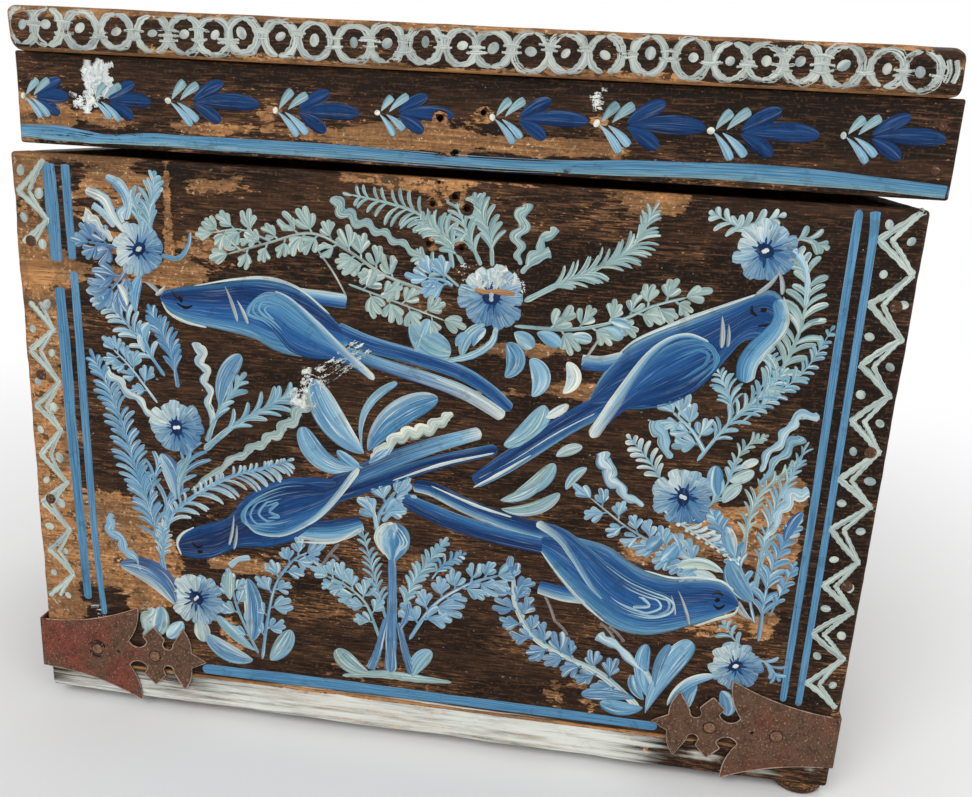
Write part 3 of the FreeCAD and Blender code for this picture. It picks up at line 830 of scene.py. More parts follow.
def bristlePattern(flat, v, wide):  # UV of the bristle streaks: x along a stroke, y across it
    middle = flat[:, :, len(v) // 2]
    run = np.cumsum(np.linalg.norm(np.diff(middle, axis=1, prepend=middle[:, :1]), axis=2), axis=1)
    shift = dice.uniform(0, paintFilm["bristleShift"], (len(flat), 2))[:, :, None, None]
    # dots show hardly any bristle marks
    slender = np.clip((run[:, -1] / wide - 1) / 2, paintFilm["leastBristle"], 1)
    x = run[:, :, None] / paintFilm["bristleLong"] + shift[:, 0]
    y = v * (wide * slender / paintFilm["bristleWide"])[:, None, None] + shift[:, 1]
    return np.stack(np.broadcast_arrays(x, y), -1)


# strokes with one grid: points between the edges rise as a half oval, the rim goes just into the wood
def buildStrokes(batch, face, vary):
    film = paintFilm
    left, right = [np.stack([made[side] for made in batch]) for side in ("left", "right")]
    lift, thick, wear = [np.array([made[key] for made in batch])[:, None, None]
                         for key in ("lift", "thick", "wear")]
    way = (left[:, -1] + right[:, -1] - left[:, 0] - right[:, 0])[:, ::-1] * np.array([1, -1])
    swapped = np.sum(way * (left - right).mean(1), axis=1) > 0  # or the faces would point inwards
    left[swapped], right[swapped] = right[swapped].copy(), left[swapped].copy()
    v = np.concatenate([[0], np.linspace(film["rim"], 1 - film["rim"], batch[0]["across"] - 2), [1]])
    flat = right[:, :, None] + (left - right)[:, :, None] * v[:, None]
    steps = left.shape[1]
    t = np.linspace(0, 1, steps)
    taper = np.clip(np.minimum(t, 1 - t) * film["taper"], film["flattest"], 1)[:, None]
    height = lift * film["layer"] + thick * film["dome"] * taper * np.sqrt(1 - (2 * v - 1) ** 2)
    height = np.where((v == 0) | (v == 1), -film["sink"], height)
    points = onFace(face, flat[..., 0], flat[..., 1], height - edgeDrop(face, flat))
    tone = np.empty(points.shape[:3] + (4,))
    tone[..., :3] = [strokeTones(made, v, steps, swap, vary) for made, swap in zip(batch, swapped)]
    tone[..., 3] = wear
    for x, z, radius in lockHoles.get(face["board"], []):  # paint has chipped off round the old holes
        gap = np.hypot(flat[..., 0] - x, flat[..., 1] - z)
        tone[..., 3] += chipped["wear"] * np.exp(-(gap / (radius + chipped["reach"])) ** 4)
    return points, tone, bristlePattern(flat, v, np.linalg.norm(left - right, axis=2).max(1))


def paintPiece(name, book, face, streak=0.62, vary=0.09):
    batches = {}
    for made in book:
        batches.setdefault((len(made["left"]), made["across"]), []).append(made)
    built, polygons, total = [], [], 0
    for (steps, across), batch in batches.items():
        built.append([part.reshape(-1, part.shape[-1]) for part in buildStrokes(batch, face, vary)])
        index = np.arange(steps * across).reshape(steps, across)
        under = np.stack([index[:-1, 0], index[:-1, -1], index[1:, -1], index[1:, 0]], -1)
        first = total + np.arange(len(batch))[:, None, None] * index.size
        # skin and both ends
        for part in (np.concatenate([gridQuads(index), under]), index[:1], index[-1:, ::-1]):
            polygons += (part + first).reshape(-1, part.shape[1]).tolist()
        total += len(batch) * index.size
    points, tone, uv = [np.concatenate(parts) for parts in zip(*built)]
    piece = addMesh(name, points, polygons, brushed, face["body"])
    store(piece, "tone", tone)
    store(piece, "streak", np.full(total, streak))
    corner = np.empty(len(piece.data.loops), dtype=np.int32)
    piece.data.loops.foreach_get("vertex_index", corner)
    layer = piece.data.uv_layers.new(name="stroke")
    layer.data.foreach_set("uv", uv[corner].astype(np.float32).ravel())
    print(name, len(book), "strokes", len(piece.data.polygons), "faces")


def bookOf(motif, rows):  # a book with one motif for each row of settings
    book = []
    for row in rows:
        motif(book, *row)
    return book


# motifs
def spineOf(points):  # a stem's points and its direction at each of them
    spine = curve(points, longT)
    return spine, unit(np.gradient(spine, axis=0))


def stepAt(t):  # number of the point at that place along a stem
    return int(round(np.interp(t, longT, np.arange(len(longT)))))


def turned(way, angle):
    c, s = cos(angle), sin(angle)
    return np.array([way[0] * c - way[1] * s, way[0] * s + way[1] * c])


fernLook = dict(stemShare=0.2, stemLess=0.6, leastStem=1.2, stemEnds=(1.3, 0.6), first=0.12, span=0.85,
                lean=(0.82, 1.15), reach=(0.85, 1.12), width=(0.68, 1.0), bow=0.14, rise=0.04, endReach=0.4,
                endWidth=0.8)


# a tapered stem and pairs of dabs that lean forward; length is one number, or the left and the right one
def fern(book, points, count, length, width, colours, angle, far=None):
    look, lengths = fernLook, np.broadcast_to(length, 2)
    spine, way = spineOf(points)
    stem = max(look["leastStem"], look["stemShare"] * lengths.max() - look["stemLess"])
    line(book, points, [stem * end for end in look["stemEnds"]], colours, thick=0.16)
    for i in range(count):
        t = look["first"] + look["span"] * (i + 0.5) / count
        at = stepAt(t)
        taper = (0.62 + 0.5 * sin(pi * (0.12 + 0.72 * t))) * (1 - 0.5 * t ** 3)  # longest at the middle
        for sign, longest in zip((1, -1), lengths):
            aim = turned(way[at], sign * radians(angle * pick(look["lean"])))
            tip = spine[at] + aim * longest * taper * pick(look["reach"])
            dab(book, spine[at], tip, width * pick(look["width"]), colours, -look["bow"] * sign,
                lift=0.1 + look["rise"] * dice.random(), thick=0.2, far=far)
    end = spine[-1] + way[-1] * lengths.mean() * look["endReach"]
    dab(book, spine[-4], end, width * look["endWidth"], colours, 0.05, thick=0.2, far=far)


lobeLook = dict(middle=1.15, outer=0.85, fan=23, spread=(0.85, 1.15), reach=(0.88, 1.1), width=0.4,
                bend=0.14, blunt=0.34, lift=0.12, rise=0.03)


def lobes(book, base, aim, size, colours, count, far):  # a small leaf of a few dabs
    look, heading = lobeLook, atan2(aim[1], aim[0])
    for k in range(count):
        place = k - (count - 1) / 2
        turn = heading + radians(look["fan"]) * place * pick(look["spread"])
        reach = size * look["middle" if abs(place) < 0.6 else "outer"] * pick(look["reach"])
        dab(book, base, np.array(base) + reach * toward(turn), size * look["width"], colours,
            jitter(look["bend"]), look["blunt"], lift=look["lift"] + look["rise"] * k, far=far)


# sides: left and right leaf of a pair, each with its place within the pair's stretch of the stem
sprigLook = dict(stemEnds=(1.4, 0.8), first=0.1, last=0.95, sides=((1, 0.3), (-1, 0.7)), angle=52,
                 lean=(0.8, 1.2), stalk=0.26, stalkWide=0.4, smaller=0.25, size=(0.85, 1.15), farTone=0.16)


def sprig(book, points, count, size, colours, stem, stemTone=None):
    look, far = sprigLook, lighter(tones(colours)[-1], sprigLook["farTone"])
    spine, way = spineOf(points)
    line(book, points, [stem * end for end in look["stemEnds"]], colours if stemTone is None else stemTone,
         thick=0.18)
    for i in range(count):
        for sign, place in look["sides"]:
            t = look["first"] + (look["last"] - look["first"]) * (i + place) / count
            at = stepAt(t)
            aim = turned(way[at], sign * radians(look["angle"] * pick(look["lean"])))
            root = spine[at] + aim * size * look["stalk"]
            stalk = np.full(len(shortT), stem * look["stalkWide"])
            stroke(book, curve([spine[at], root], shortT), stalk, colours, thick=0.16)
            lobes(book, root, aim, size * (1 - look["smaller"] * t) * pick(look["size"]), colours, 4, far)
    lobes(book, spine[-1], way[-1], size, colours, 3, far)


def petalTones(near):  # colours at the edge and the root of a petal; near is 1 on the flower's pale side
    white = np.clip((near - 0.72) * 2.8, 0, 1)
    shade = toned(paints["royal"], paints["azure"], 0.6)
    body = toned(toned(shade, paints["sky"], near), paints["cream"], white * 0.85)
    return toned(body, paints["ice"], 0.1 + 0.55 * near), toned(shade * 0.8, body, 0.35 + 0.6 * white)


# lengths are shares of the flower's radius
flowerLook = dict(petals=15, rings=(1.0, 0.78), turn=0.07, vary=0.12, size=(0.88, 1.08), root=0.1,
                  width=0.38, bend=0.1, hairsAt=(-0.11, 0.01, 0.12), hairRoot=0.4, hairEnd=0.95,
                  hairWide=0.05, hairPale=(0.1, 0.6), heart=13, heartTurn=0.2, heartReach=0.46,
                  heartVary=(0.8, 1.3), heartWide=0.2, eye=0.28, eyeLight=0.12)


def flower(book, centre, radius, pale, paleWay):
    look, centre = flowerLook, np.array(centre, float)
    for ring, scale in enumerate(look["rings"]):
        for k in range(look["petals"]):
            a = 2 * pi * (k + 0.5 * ring) / look["petals"] + jitter(look["turn"])
            near = 0.5 + 0.5 * cos(a - radians(paleWay)) + pale + jitter(look["vary"])
            near = np.clip(near, 0, 1)
            edge, root = petalTones(near)
            size = radius * scale * pick(look["size"])
            dab(book, centre + toward(a) * radius * look["root"], centre + toward(a) * size,
                radius * look["width"] * scale, np.array([toned(root, edge, 0.4), root, root * 0.85]),
                jitter(look["bend"]), 0.22, lift=0.12 + 0.09 * ring, wear=0.04, thick=0.26, far=edge)
            for turn in look["hairsAt"] if ring == 0 else ():  # fine pale hairs on the outer petals
                hair = toward(a + turn)
                tone = toned(edge, paints["cream"], pick(look["hairPale"]) * (0.3 + 0.7 * near))
                dab(book, centre + hair * radius * look["hairRoot"], centre + hair * size * look["hairEnd"],
                    radius * look["hairWide"], tone[None, :], lift=0.42, wear=0.15, thick=0.1)
    for k in range(look["heart"]):
        out = toward(2 * pi * k / look["heart"] + jitter(look["heartTurn"]))
        start = centre + out * radius * look["heartReach"] * pick(look["heartVary"])
        dab(book, start, centre, radius * look["heartWide"], "deep", lift=0.4, wear=0.02, thick=0.16)
    dot(book, centre, radius * look["eye"], "navy", lift=0.5)
    dot(book, centre, radius * look["eyeLight"], "ice cream", lift=0.62)


smearLook = dict(reach=(2.0, 5.0), bow=0.8, width=(2.4, 5.4))


def smear(book, centre, halfWide, halfHigh, count, wear):  # a blot of short white strokes laid every way
    for k in range(count):
        at = np.array(centre) + jitter(1, 2) * (halfWide, halfHigh)
        way = toward(dice.uniform(0, pi)) * pick(smearLook["reach"])
        bow = jitter(smearLook["bow"], 2)
        line(book, [at - way, at + bow, at + way], pick(smearLook["width"]), "chalk", shake=0.3,
             lift=0.7, wear=wear, thick=0.12)


def inner(upper, lower, f):  # curve a fraction f of the way from one edge to the other
    return curve(upper, longT) * (1 - f) + curve(lower, longT) * f


# bristle marks: place and shift as shares of the width, where they begin and end, width in mm
flowLook = dict(places=(0.04, 0.96), shift=0.02, first=(0.02, 0.35), last=(0.5, 0.95), width=(1.2, 3.0))
hairLook = dict(places=(-0.42, 0.42), shift=0.06, first=(0, 0.35), last=(0.55, 1), width=(0.5, 1.2))
markTone = dict(darkShare=0.45, dark=(0.58, 0.9), light=(0.03, 0.2))


def brushTone(colours, place):  # colour at a place across a stroke, then darker or lighter
    base = toneAt(tones(colours), place)
    if dice.random() < markTone["darkShare"]:
        return base[None, :] * pick(markTone["dark"])
    return lighter(base, pick(markTone["light"]))[None, :]


def mark(book, path, look, colours, place, lift):  # a thin bristle mark along part of a path
    first, last, width = [pick(look[key]) for key in ("first", "last", "width")]
    steps = len(longT) - 1
    own = curve(path[int(first * steps):int(last * steps) + 1:4], longT)
    half = 0.5 * width * np.sin(pi * np.clip(longT, 0.02, 0.98)) ** 0.6
    stroke(book, own, half, brushTone(colours, place), lift=lift, wear=0.3, thick=0.1, across=3)


def flow(book, upper, lower, colours, count, lift):  # marks that follow a body's two outlines
    for f in np.linspace(*flowLook["places"], count):
        path = inner(upper, lower, f + jitter(flowLook["shift"]))
        mark(book, path, flowLook, colours, f, lift)


def hairs(book, points, width, colours, count, lift):  # marks along a broad stroke
    path, full = curve(points, longT), widths(width, longT)
    for f in np.linspace(*hairLook["places"], count):
        beside = path + normals(path) * (full * (f + jitter(hairLook["shift"])))[:, None]
        mark(book, beside, hairLook, colours, 0.5 - f, lift)


def pointsAt(path, t):
    return np.stack([np.interp(t, longT, path[:, c]) for c in (0, 1)], 1)


# shares of the wing: how far in the pins lie, how far forward and back each one goes
hookLook = dict(inset=0.1, insetSpan=0.34, front=0.03, frontStep=0.08, back=0.56, backStep=-0.05, vary=0.06,
                bend=0.06, width=(0.5, 1.3, 2.4, 2.6, 0.5), widthVary=(0.75, 1.15))


# pale hairpin strokes one inside the other at a wing's shoulder
def hooks(book, upper, lower, count, names, lift):
    look = hookLook
    for k in range(count):
        f, front = look["inset"] + look["insetSpan"] * k / count, look["front"] + look["frontStep"] * k
        back = look["back"] + look["backStep"] * k + jitter(look["vary"])
        back = np.linspace(back, front + look["bend"], 5)
        path = np.concatenate([pointsAt(inner(upper, lower, f), back),
                               pointsAt(inner(upper, lower, 0.5), [front]),
                               pointsAt(inner(upper, lower, 1 - f), back[::-1][:3 + k % 3])])
        width = pick(look["widthVary"]) * np.array(look["width"])
        line(book, path, width, names, rounded=0.1, lift=lift, wear=0.16, thick=0.16)


def feather(book, path, width, names, marks, markLift, **look):  # a broad stroke with bristle marks on it
    line(book, path, width, names, shake=0.0, across=9, **look)
    hairs(book, path, width, names, marks, markLift)


# birds: outlines and colours of body and wing; tails, quill, stub and bibs as (points, widths, colours), the
# tails with a colour at the tip; marks as (tip, start, width); beak and legs as pairs of points
birds = dict(
    upperLeft=dict(
        upper=[(-183, 300), (-179, 305), (-162, 309.5), (-145, 312), (-131, 316.5), (-118, 318.4),
            (-101, 317.5), (-87, 312), (-74, 302), (-60, 288)],
        lower=[(-183, 299), (-176, 290.5), (-162, 284.5), (-140, 281), (-122, 278), (-106, 270),
            (-92, 267.5), (-78, 268), (-66, 272), (-56, 280)],
        body="azure deep navy deep royal royal azure sky",
        tails=[([(-66, 288), (-45, 281), (-15, 275), (14, 268), (34, 258), (49, 246)], (13, 11, 10, 8),
            "sky royal deep royal azure", None),
            ([(-60, 275), (-30, 267), (0, 260), (22, 253), (45, 241)], (7, 9, 10, 9), "sky azure royal",
            "cream")],
        wing=([(-125, 293), (-121, 303), (-114, 308.5), (-106, 310), (-97, 306), (-83, 295), (-65, 279),
            (-41, 259)], [(-125, 293), (-117, 290), (-110, 286), (-102, 278), (-94, 270), (-80, 267),
            (-62, 267), (-40, 256)]),
        wingTone="sky azure azure royal royal deep",
        quill=([(-106, 309), (-97, 305), (-82, 293.5), (-64, 277.5), (-40, 258)], (3, 5, 6, 5),
            "cream sky azure azure"),
        stub=([(-90, 309.5), (-75, 308), (-59, 307)], (8, 10, 10), "cream sky royal deep"),
        marks=[((-131, 288), (-139, 310.5), 3.2), ((-124, 287), (-131, 302), 3.2)],
        edges=[[(-182, 297), (-177, 290), (-166, 285), (-152, 282.5)],
            [(-160, 309), (-131, 315.6), (-110, 317.6), (-90, 312.6), (-70, 298)],
            [(0, 262), (24, 254), (45, 243)]],
        masks=[[(-175, 305), (-171, 301), (-167, 302)], [(-172, 297), (-166, 294.5), (-161, 296)]],
        hooks=(4, "sky azure"), eye=(-169, 299.5),
        beak=[((-184, 303), (-193, 309)), ((-186, 301), (-179, 308))], legs=[], bibs=[]),
    upperRight=dict(
        upper=[(97, 256), (103, 272), (112, 287.5), (124, 299), (140, 308.5), (158, 316.5), (175, 324.5),
            (189, 331.5), (199, 335), (207, 329), (209.5, 318)],
        lower=[(99, 254), (110, 253), (123, 252.5), (139, 255), (154, 261.5), (166, 273.5), (175, 286),
            (181, 297), (189, 303), (199, 305), (209, 316)],
        body="sky royal deep deep deep deep royal royal",
        tails=[([(113, 259), (85, 240), (60, 219.5), (42, 205), (28, 194.5)], (15, 15, 14, 10),
            "sky royal deep navy deep royal", None),
            ([(104, 250), (80, 234), (52, 212), (29, 196)], (2, 3, 3.5, 3), "sky ice azure", None)],
        wing=([(171, 294), (164, 301), (154, 303), (144, 300), (133, 290.5), (123, 273.5), (115, 258),
            (102, 234)], [(171, 294), (174, 286), (168, 275), (157, 264), (142, 257), (128, 255), (118, 250),
            (106, 236)]),
        wingTone="azure royal royal deep deep deep",
        quill=([(166, 300), (154, 303), (143, 299.5), (132, 289.5), (121, 271), (113, 255), (101, 233)],
            (2.5, 3.5, 4, 5, 7, 9, 8), "royal azure sky ice cream"),
        stub=([(117, 285), (104, 281), (91, 281)], (11, 11, 10), "deep royal sky cream"),
        marks=[((174, 297), (172, 317), 4.0), ((177.5, 298), (176.5, 312), 2.8)],
        edges=[[(206, 331), (210.4, 320), (209, 309), (202, 299), (197, 289)],
            [(112, 287), (124, 298.4), (150, 312.4), (175, 324), (190, 331)],
            [(64, 217), (44, 202), (28, 191)]],
        masks=[[(188.5, 324.6), (189, 320.5), (192.3, 318.3)],
            [(203, 322.8), (203.6, 318.2), (200.5, 314), (193.6, 312.3)]],
        hooks=(3, "azure azure"), eye=(195.6, 322.2),
        beak=[((190, 331), (202, 346)), ((205, 332), (201, 346))], legs=[],
        bibs=[([(203, 329), (206, 318), (202, 307), (194.5, 297), (190.5, 288), (190.5, 277)],
            (9, 9, 12, 13, 13, 11), "ice sky azure azure")]),
    lowerLeft=dict(
        upper=[(-178, 127), (-175, 134), (-162, 142), (-145, 149), (-137, 154), (-132, 163), (-118, 176),
            (-101, 184), (-83, 187), (-62, 187)],
        lower=[(-177, 124), (-173, 117.5), (-162, 116.5), (-151, 118.5), (-139, 126), (-127, 129),
            (-113, 130), (-99, 135), (-86, 143), (-60, 172)],
        body="royal deep navy navy navy deep royal",
        tails=[([(-66, 183), (-30, 203), (0, 217), (31, 229)], (13, 12, 11, 9), "deep navy royal azure",
            "cream"), ([(-66, 175), (-30, 191), (4, 206), (42, 219)], (12, 11, 10, 8),
            "azure deep navy deep royal", None)],
        wing=([(-131, 152), (-127, 162), (-117, 172), (-104, 180), (-88, 183), (-72, 182), (-60, 186),
            (-49, 197)], [(-131, 152), (-127, 145), (-117, 141), (-101, 142), (-86, 151), (-72, 164),
            (-60, 178), (-48, 195)]),
        wingTone="deep navy deep deep royal azure",
        quill=([(-128, 149), (-119, 142), (-102, 142.5), (-86, 151.5), (-71, 165), (-49, 196)],
            (2, 3, 3.6, 4, 5, 5), "azure sky cream"),
        stub=([(-104, 146), (-78, 147.5), (-60, 151), (-46, 157)], (10, 16, 17, 11),
            "navy deep azure sky cream"),
        marks=[((-140, 130), (-136, 153), 2.8), ((-136.5, 127), (-134, 146), 2.8)],
        edges=[[(-165, 140.4), (-173.6, 134.6), (-177.6, 127), (-175, 118.5)],
            [(-26, 190), (6, 204.6), (40, 216)], [(-92, 138), (-66, 141), (-48, 153)]],
        masks=[[(-167, 129), (-163, 126), (-159, 127.5)]],
        hooks=(5, "sky azure"), eye=(-161, 122.5), beak=[],
        legs=[((-62, 140), (-74, 122)), ((-68, 131), (-62, 128))], bibs=[]),
    lowerRight=dict(
        upper=[(72, 163), (88, 164.5), (104, 163.5), (119, 160.5), (131, 153), (144, 146), (161, 143),
            (178, 145), (191, 144.5), (200, 139.5), (206, 129)],
        lower=[(74, 152), (80, 143.5), (91, 130), (105, 116), (119, 105), (131, 99), (146, 97.5), (160, 101),
            (177, 109), (191, 116.5), (205, 126)],
        body="sky royal deep deep royal royal azure sky",
        tails=[([(80, 164), (52, 169), (26, 176.5), (2, 186), (-12, 188)], (14, 12, 11, 9),
            "cream sky royal deep navy deep", None),
            ([(84, 155), (50, 158.5), (20, 164), (0, 170.5), (-20, 178)], (14, 13, 13, 11),
            "deep navy royal azure", None)],
        wing=([(165, 120), (163, 128), (154, 132), (138, 137), (120, 147), (104, 159), (88, 169), (70, 173)],
            [(165, 120), (156, 112), (140, 109.5), (122, 116), (108, 130), (96, 147), (83, 161), (70, 170)]),
        wingTone="azure deep royal royal royal azure",
        quill=([(118, 122), (109, 131), (98, 147), (86, 162), (71, 171)], (2, 4, 5, 6, 6),
            "cream sky azure royal"),
        stub=([(108, 122), (92, 122), (75, 125)], (12, 12, 10), "cream sky royal royal"),
        marks=[((176, 110), (166, 134), 2.6), ((166, 116), (162, 130), 2.2)],
        edges=[[(206, 128), (203, 121.6), (193, 116.8), (180, 110)],
            [(143, 145.6), (161, 142.6), (178, 144.6), (192, 144), (201, 138.6)],
            [(75, 151), (92, 130.6), (106, 116.6), (120, 105.6)], [(0, 189), (30, 178.6), (54, 173)]],
        masks=[[(188, 133.5), (191, 136), (195, 134)], [(189, 127), (193, 124.5), (197, 127.5)]],
        hooks=(4, "ice sky"), eye=(191.6, 130.4),
        beak=[((205, 131), (216, 118)), ((204, 127), (214, 119))], bibs=[],
        legs=[((80, 119), (88, 101)), ((88, 101), (97, 92)), ((118, 104), (128, 94)),
            ((124, 102), (135, 92))]))
# heights of the layers of a bird, from the lowest up
birdLayers = dict(legs=0.08, stub=0.1, tails=0.14, body=0.22, beak=0.5, wing=0.62, stubMarks=0.7,
                  tailMarks=0.75, bodyMarks=0.78, bibs=0.8, marks=0.86, face=0.9, edges=1.0, wingMarks=1.18,
                  hooks=1.34, quill=1.4, bibMarks=1.4)


def bird(book, made):
    layer, (upper, lower) = birdLayers, made["wing"]
    for end, start in made["legs"]:
        middle = ((end[0] + start[0]) / 2, (end[1] + start[1]) / 2 + 1)
        line(book, [end, middle, start], 2.2, "bark", lift=layer["legs"], wear=0.35)
    feather(book, *made["stub"], 3, layer["stubMarks"], rounded=0.015, lift=layer["stub"], wear=0.06)
    for path, width, names, far in made["tails"]:
        feather(book, path, width, names, 5, layer["tailMarks"], rounded=0.02, lift=layer["tails"],
                wear=0.06, thick=0.3, far=paints[far] if far else None, late=2.2)
    lens(book, made["upper"], made["lower"], made["body"], lift=layer["body"], wear=0.05, thick=0.35,
         across=17)
    flow(book, made["upper"], made["lower"], made["body"], 11, layer["bodyMarks"])
    for bib in made["bibs"]:
        feather(book, *bib, 5, layer["bibMarks"], rounded=0.05, lift=layer["bibs"], wear=0.05, thick=0.3)
    lens(book, upper, lower, made["wingTone"], lift=layer["wing"], wear=0.05, thick=0.35, across=13)
    flow(book, upper, lower, made["wingTone"], 7, layer["wingMarks"])
    hooks(book, upper, lower, *made["hooks"], layer["hooks"])
    for path in made["edges"]:
        line(book, path, (0.8, 2.6, 1.2), "ice cream", lift=layer["edges"], wear=0.12, thick=0.16)
    path, width, names = made["quill"]
    line(book, path, width, names, rounded=0.02, shake=0.03, lift=layer["quill"], wear=0.05, thick=0.3,
         far=paints["cream"], late=5.0, across=9)
    for tip, start, width in made["marks"]:
        dab(book, start, tip, width, "ice bark", 0.03, lift=layer["marks"], wear=0.2)
    for path in made["masks"]:
        line(book, path, (0.8, 2.8, 1.2), "black", lift=layer["face"], thick=0.12)
    dot(book, made["eye"], 1.7, "black", lift=layer["face"], wear=0.12)
    for start, tip in made["beak"]:
        dab(book, tip, start, 3.4, "bark ice", 0.08, lift=layer["beak"], wear=0.2)


paintPiece("bird_paint", bookOf(bird, [[made] for made in birds.values()]), faces["front"], streak=0.12,
           vary=0.0)

# flowers: centre, radius, how pale, direction of the pale side in degrees
flowers = [
    ((-196, 330), 17.5, 0.1, 170), ((32.5, 317), 20, 0.05, 100), ((192, 357), 18, 0.0, 130),
    ((-175, 212), 19, -0.05, 140), ((162, 199), 19.5, -0.05, 120), ((-165, 86), 20, 0.25, 170),
    ((209, 84), 17, 0.05, 140)]
flowerBook = bookOf(flower, flowers)
smear(flowerBook, (33, 329), 20, 6, 24, 0.68)
line(flowerBook, [(22, 321), (30, 319.5), (38, 320.5), (47, 320)], (3, 5, 3), "tan", lift=0.75, wear=0.3,
     thick=0.12)
paintPiece("flower_paint", flowerBook, faces["front"], streak=0.1, vary=0.0)

# ferns: points from root to tip, leaflets on a side, their length and width, colours, lean, far end colour
skyTone, mistTone, azureTone, sageTone = "azure sky", "mist sky", "royal azure", "mist sage"
ice, cream = paints["ice"], paints["cream"]
ferns = [
    ([(-182, 247), (-197, 268), (-211, 285), (-229, 298)], 9, 14, 4.6, skyTone, 46, ice),
    ([(-173, 240), (-177, 262), (-189, 289)], 11, 16, 4.4, "azure azure", 27),
    ([(-187, 100), (-193, 134), (-200, 160), (-207, 182), (-213, 208), (-222, 234), (-231, 255)], 29,
        (18, 16), 4.4, skyTone, 42),
    ([(-190, 112), (-182, 146), (-161, 166), (-137, 181), (-113, 190), (-98, 196)], 23, (7, 19), 3.6,
        skyTone, 50, ice),
    ([(-197, 150), (-194, 168), (-189, 184)], 4, 20, 3.2, skyTone, 22),
    ([(-191, 108), (-188, 125), (-188, 138)], 7, 9, 3.4, skyTone, 38, ice),
    ([(-188, 130), (-183, 155), (-172, 178), (-166, 196)], 5, 30, 4.2, skyTone, 24),
    ([(-156, 198), (-135, 217), (-115, 230), (-98, 242)], 6, 22, 5, mistTone, 26),
    ([(-154, 204), (-146, 224), (-130, 248)], 4, 20, 5, mistTone, 24),
    ([(-186, 334), (-188, 350), (-184, 373)], 7, 17, 5, mistTone, 24),
    ([(-193, 338), (-196, 352), (-200, 362)], 4, 14, 4, mistTone, 26),
    ([(8, 333), (2, 352), (-14, 364), (-34, 369.5), (-57, 373)], 13, (15, 13), 3.4, sageTone, 56),
    ([(14, 336), (4, 350), (-12, 358)], 7, 15, 4.4, sageTone, 44),
    ([(32, 336), (30, 352), (25, 364), (21, 374)], 8, 15, 4.8, sageTone, 36),
    ([(25, 336), (17, 352), (8, 372)], 6, 15, 4.2, sageTone, 34),
    ([(53, 316), (75, 329), (98, 341), (116, 355), (125, 374)], 24, 19, 3.0, sageTone, 28),
    ([(12, 322), (-4, 334), (-14, 339)], 4, 11, 4, sageTone, 40),
    ([(186, 252), (207, 279), (216, 302), (219, 321), (219, 342), (208, 358)], 14, 16, 5.2, sageTone, 50),
    ([(190, 250), (209, 270), (225, 289), (236, 313)], 15, 9, 3.2, mistTone, 44),
    ([(168, 224), (184, 250), (200, 268), (212, 284)], 11, 13, 3.8, mistTone, 44),
    ([(186, 256), (182, 268), (175, 281)], 8, 11, 2.8, mistTone, 46),
    ([(197, 270), (205, 284), (202, 299)], 6, 9, 2.8, mistTone, 46),
    ([(214, 140), (216, 172), (220, 202), (231, 236)], 15, 19, 2.6, mistTone, 20),
    ([(204, 160), (204, 185), (209, 206), (225, 226)], 10, 17, 2.8, sageTone, 22),
    ([(188, 213), (192, 228), (198, 238), (206, 243)], 6, 9, 3, sageTone, 30),
    ([(221, 104), (221, 130), (222, 152), (227, 172), (234, 188)], 9, 14, 6, skyTone, 36),
    ([(217, 117), (205, 151), (191, 174), (182, 189)], 9, 12, 5.4, skyTone, 38),
    ([(226, 124), (231, 142), (236, 160)], 5, 9, 4.6, skyTone, 36),
    ([(-28, 88), (-36, 115), (-45, 149)], 10, 13, 2.8, mistTone, 32),
    ([(-19, 90), (-8, 120), (10, 149)], 11, 13, 4.2, mistTone, 32),
    ([(3, 122), (11, 134), (23, 142)], 6, 8, 3.4, skyTone, 46),
    ([(144, 194), (162, 181), (182, 170), (200, 158)], 11, (11, 3), 4.6, "sky ice", 58, cream),
    ([(150, 205), (140, 219), (126, 234)], 6, 11, 4.2, mistTone, 46, cream),
    ([(175, 190), (186, 206), (192, 224)], 4, 12, 4.6, mistTone, 40),
    ([(168, 364), (178, 370), (197, 377)], 4, 11, 5, sageTone, 40, ice),
    ([(182, 369), (172, 371), (161, 376)], 3, 10, 4.6, sageTone, 40, ice),
    ([(205, 362), (214, 366), (224, 362)], 3, 10, 5, sageTone, 44),
    ([(214, 96), (205, 104), (199, 113)], 3, 10, 4, mistTone, 50),
    ([(220, 92), (230, 88), (236, 80)], 3, 11, 4, skyTone, 44)]
paintPiece("fern_paint", bookOf(fern, ferns), faces["front"])

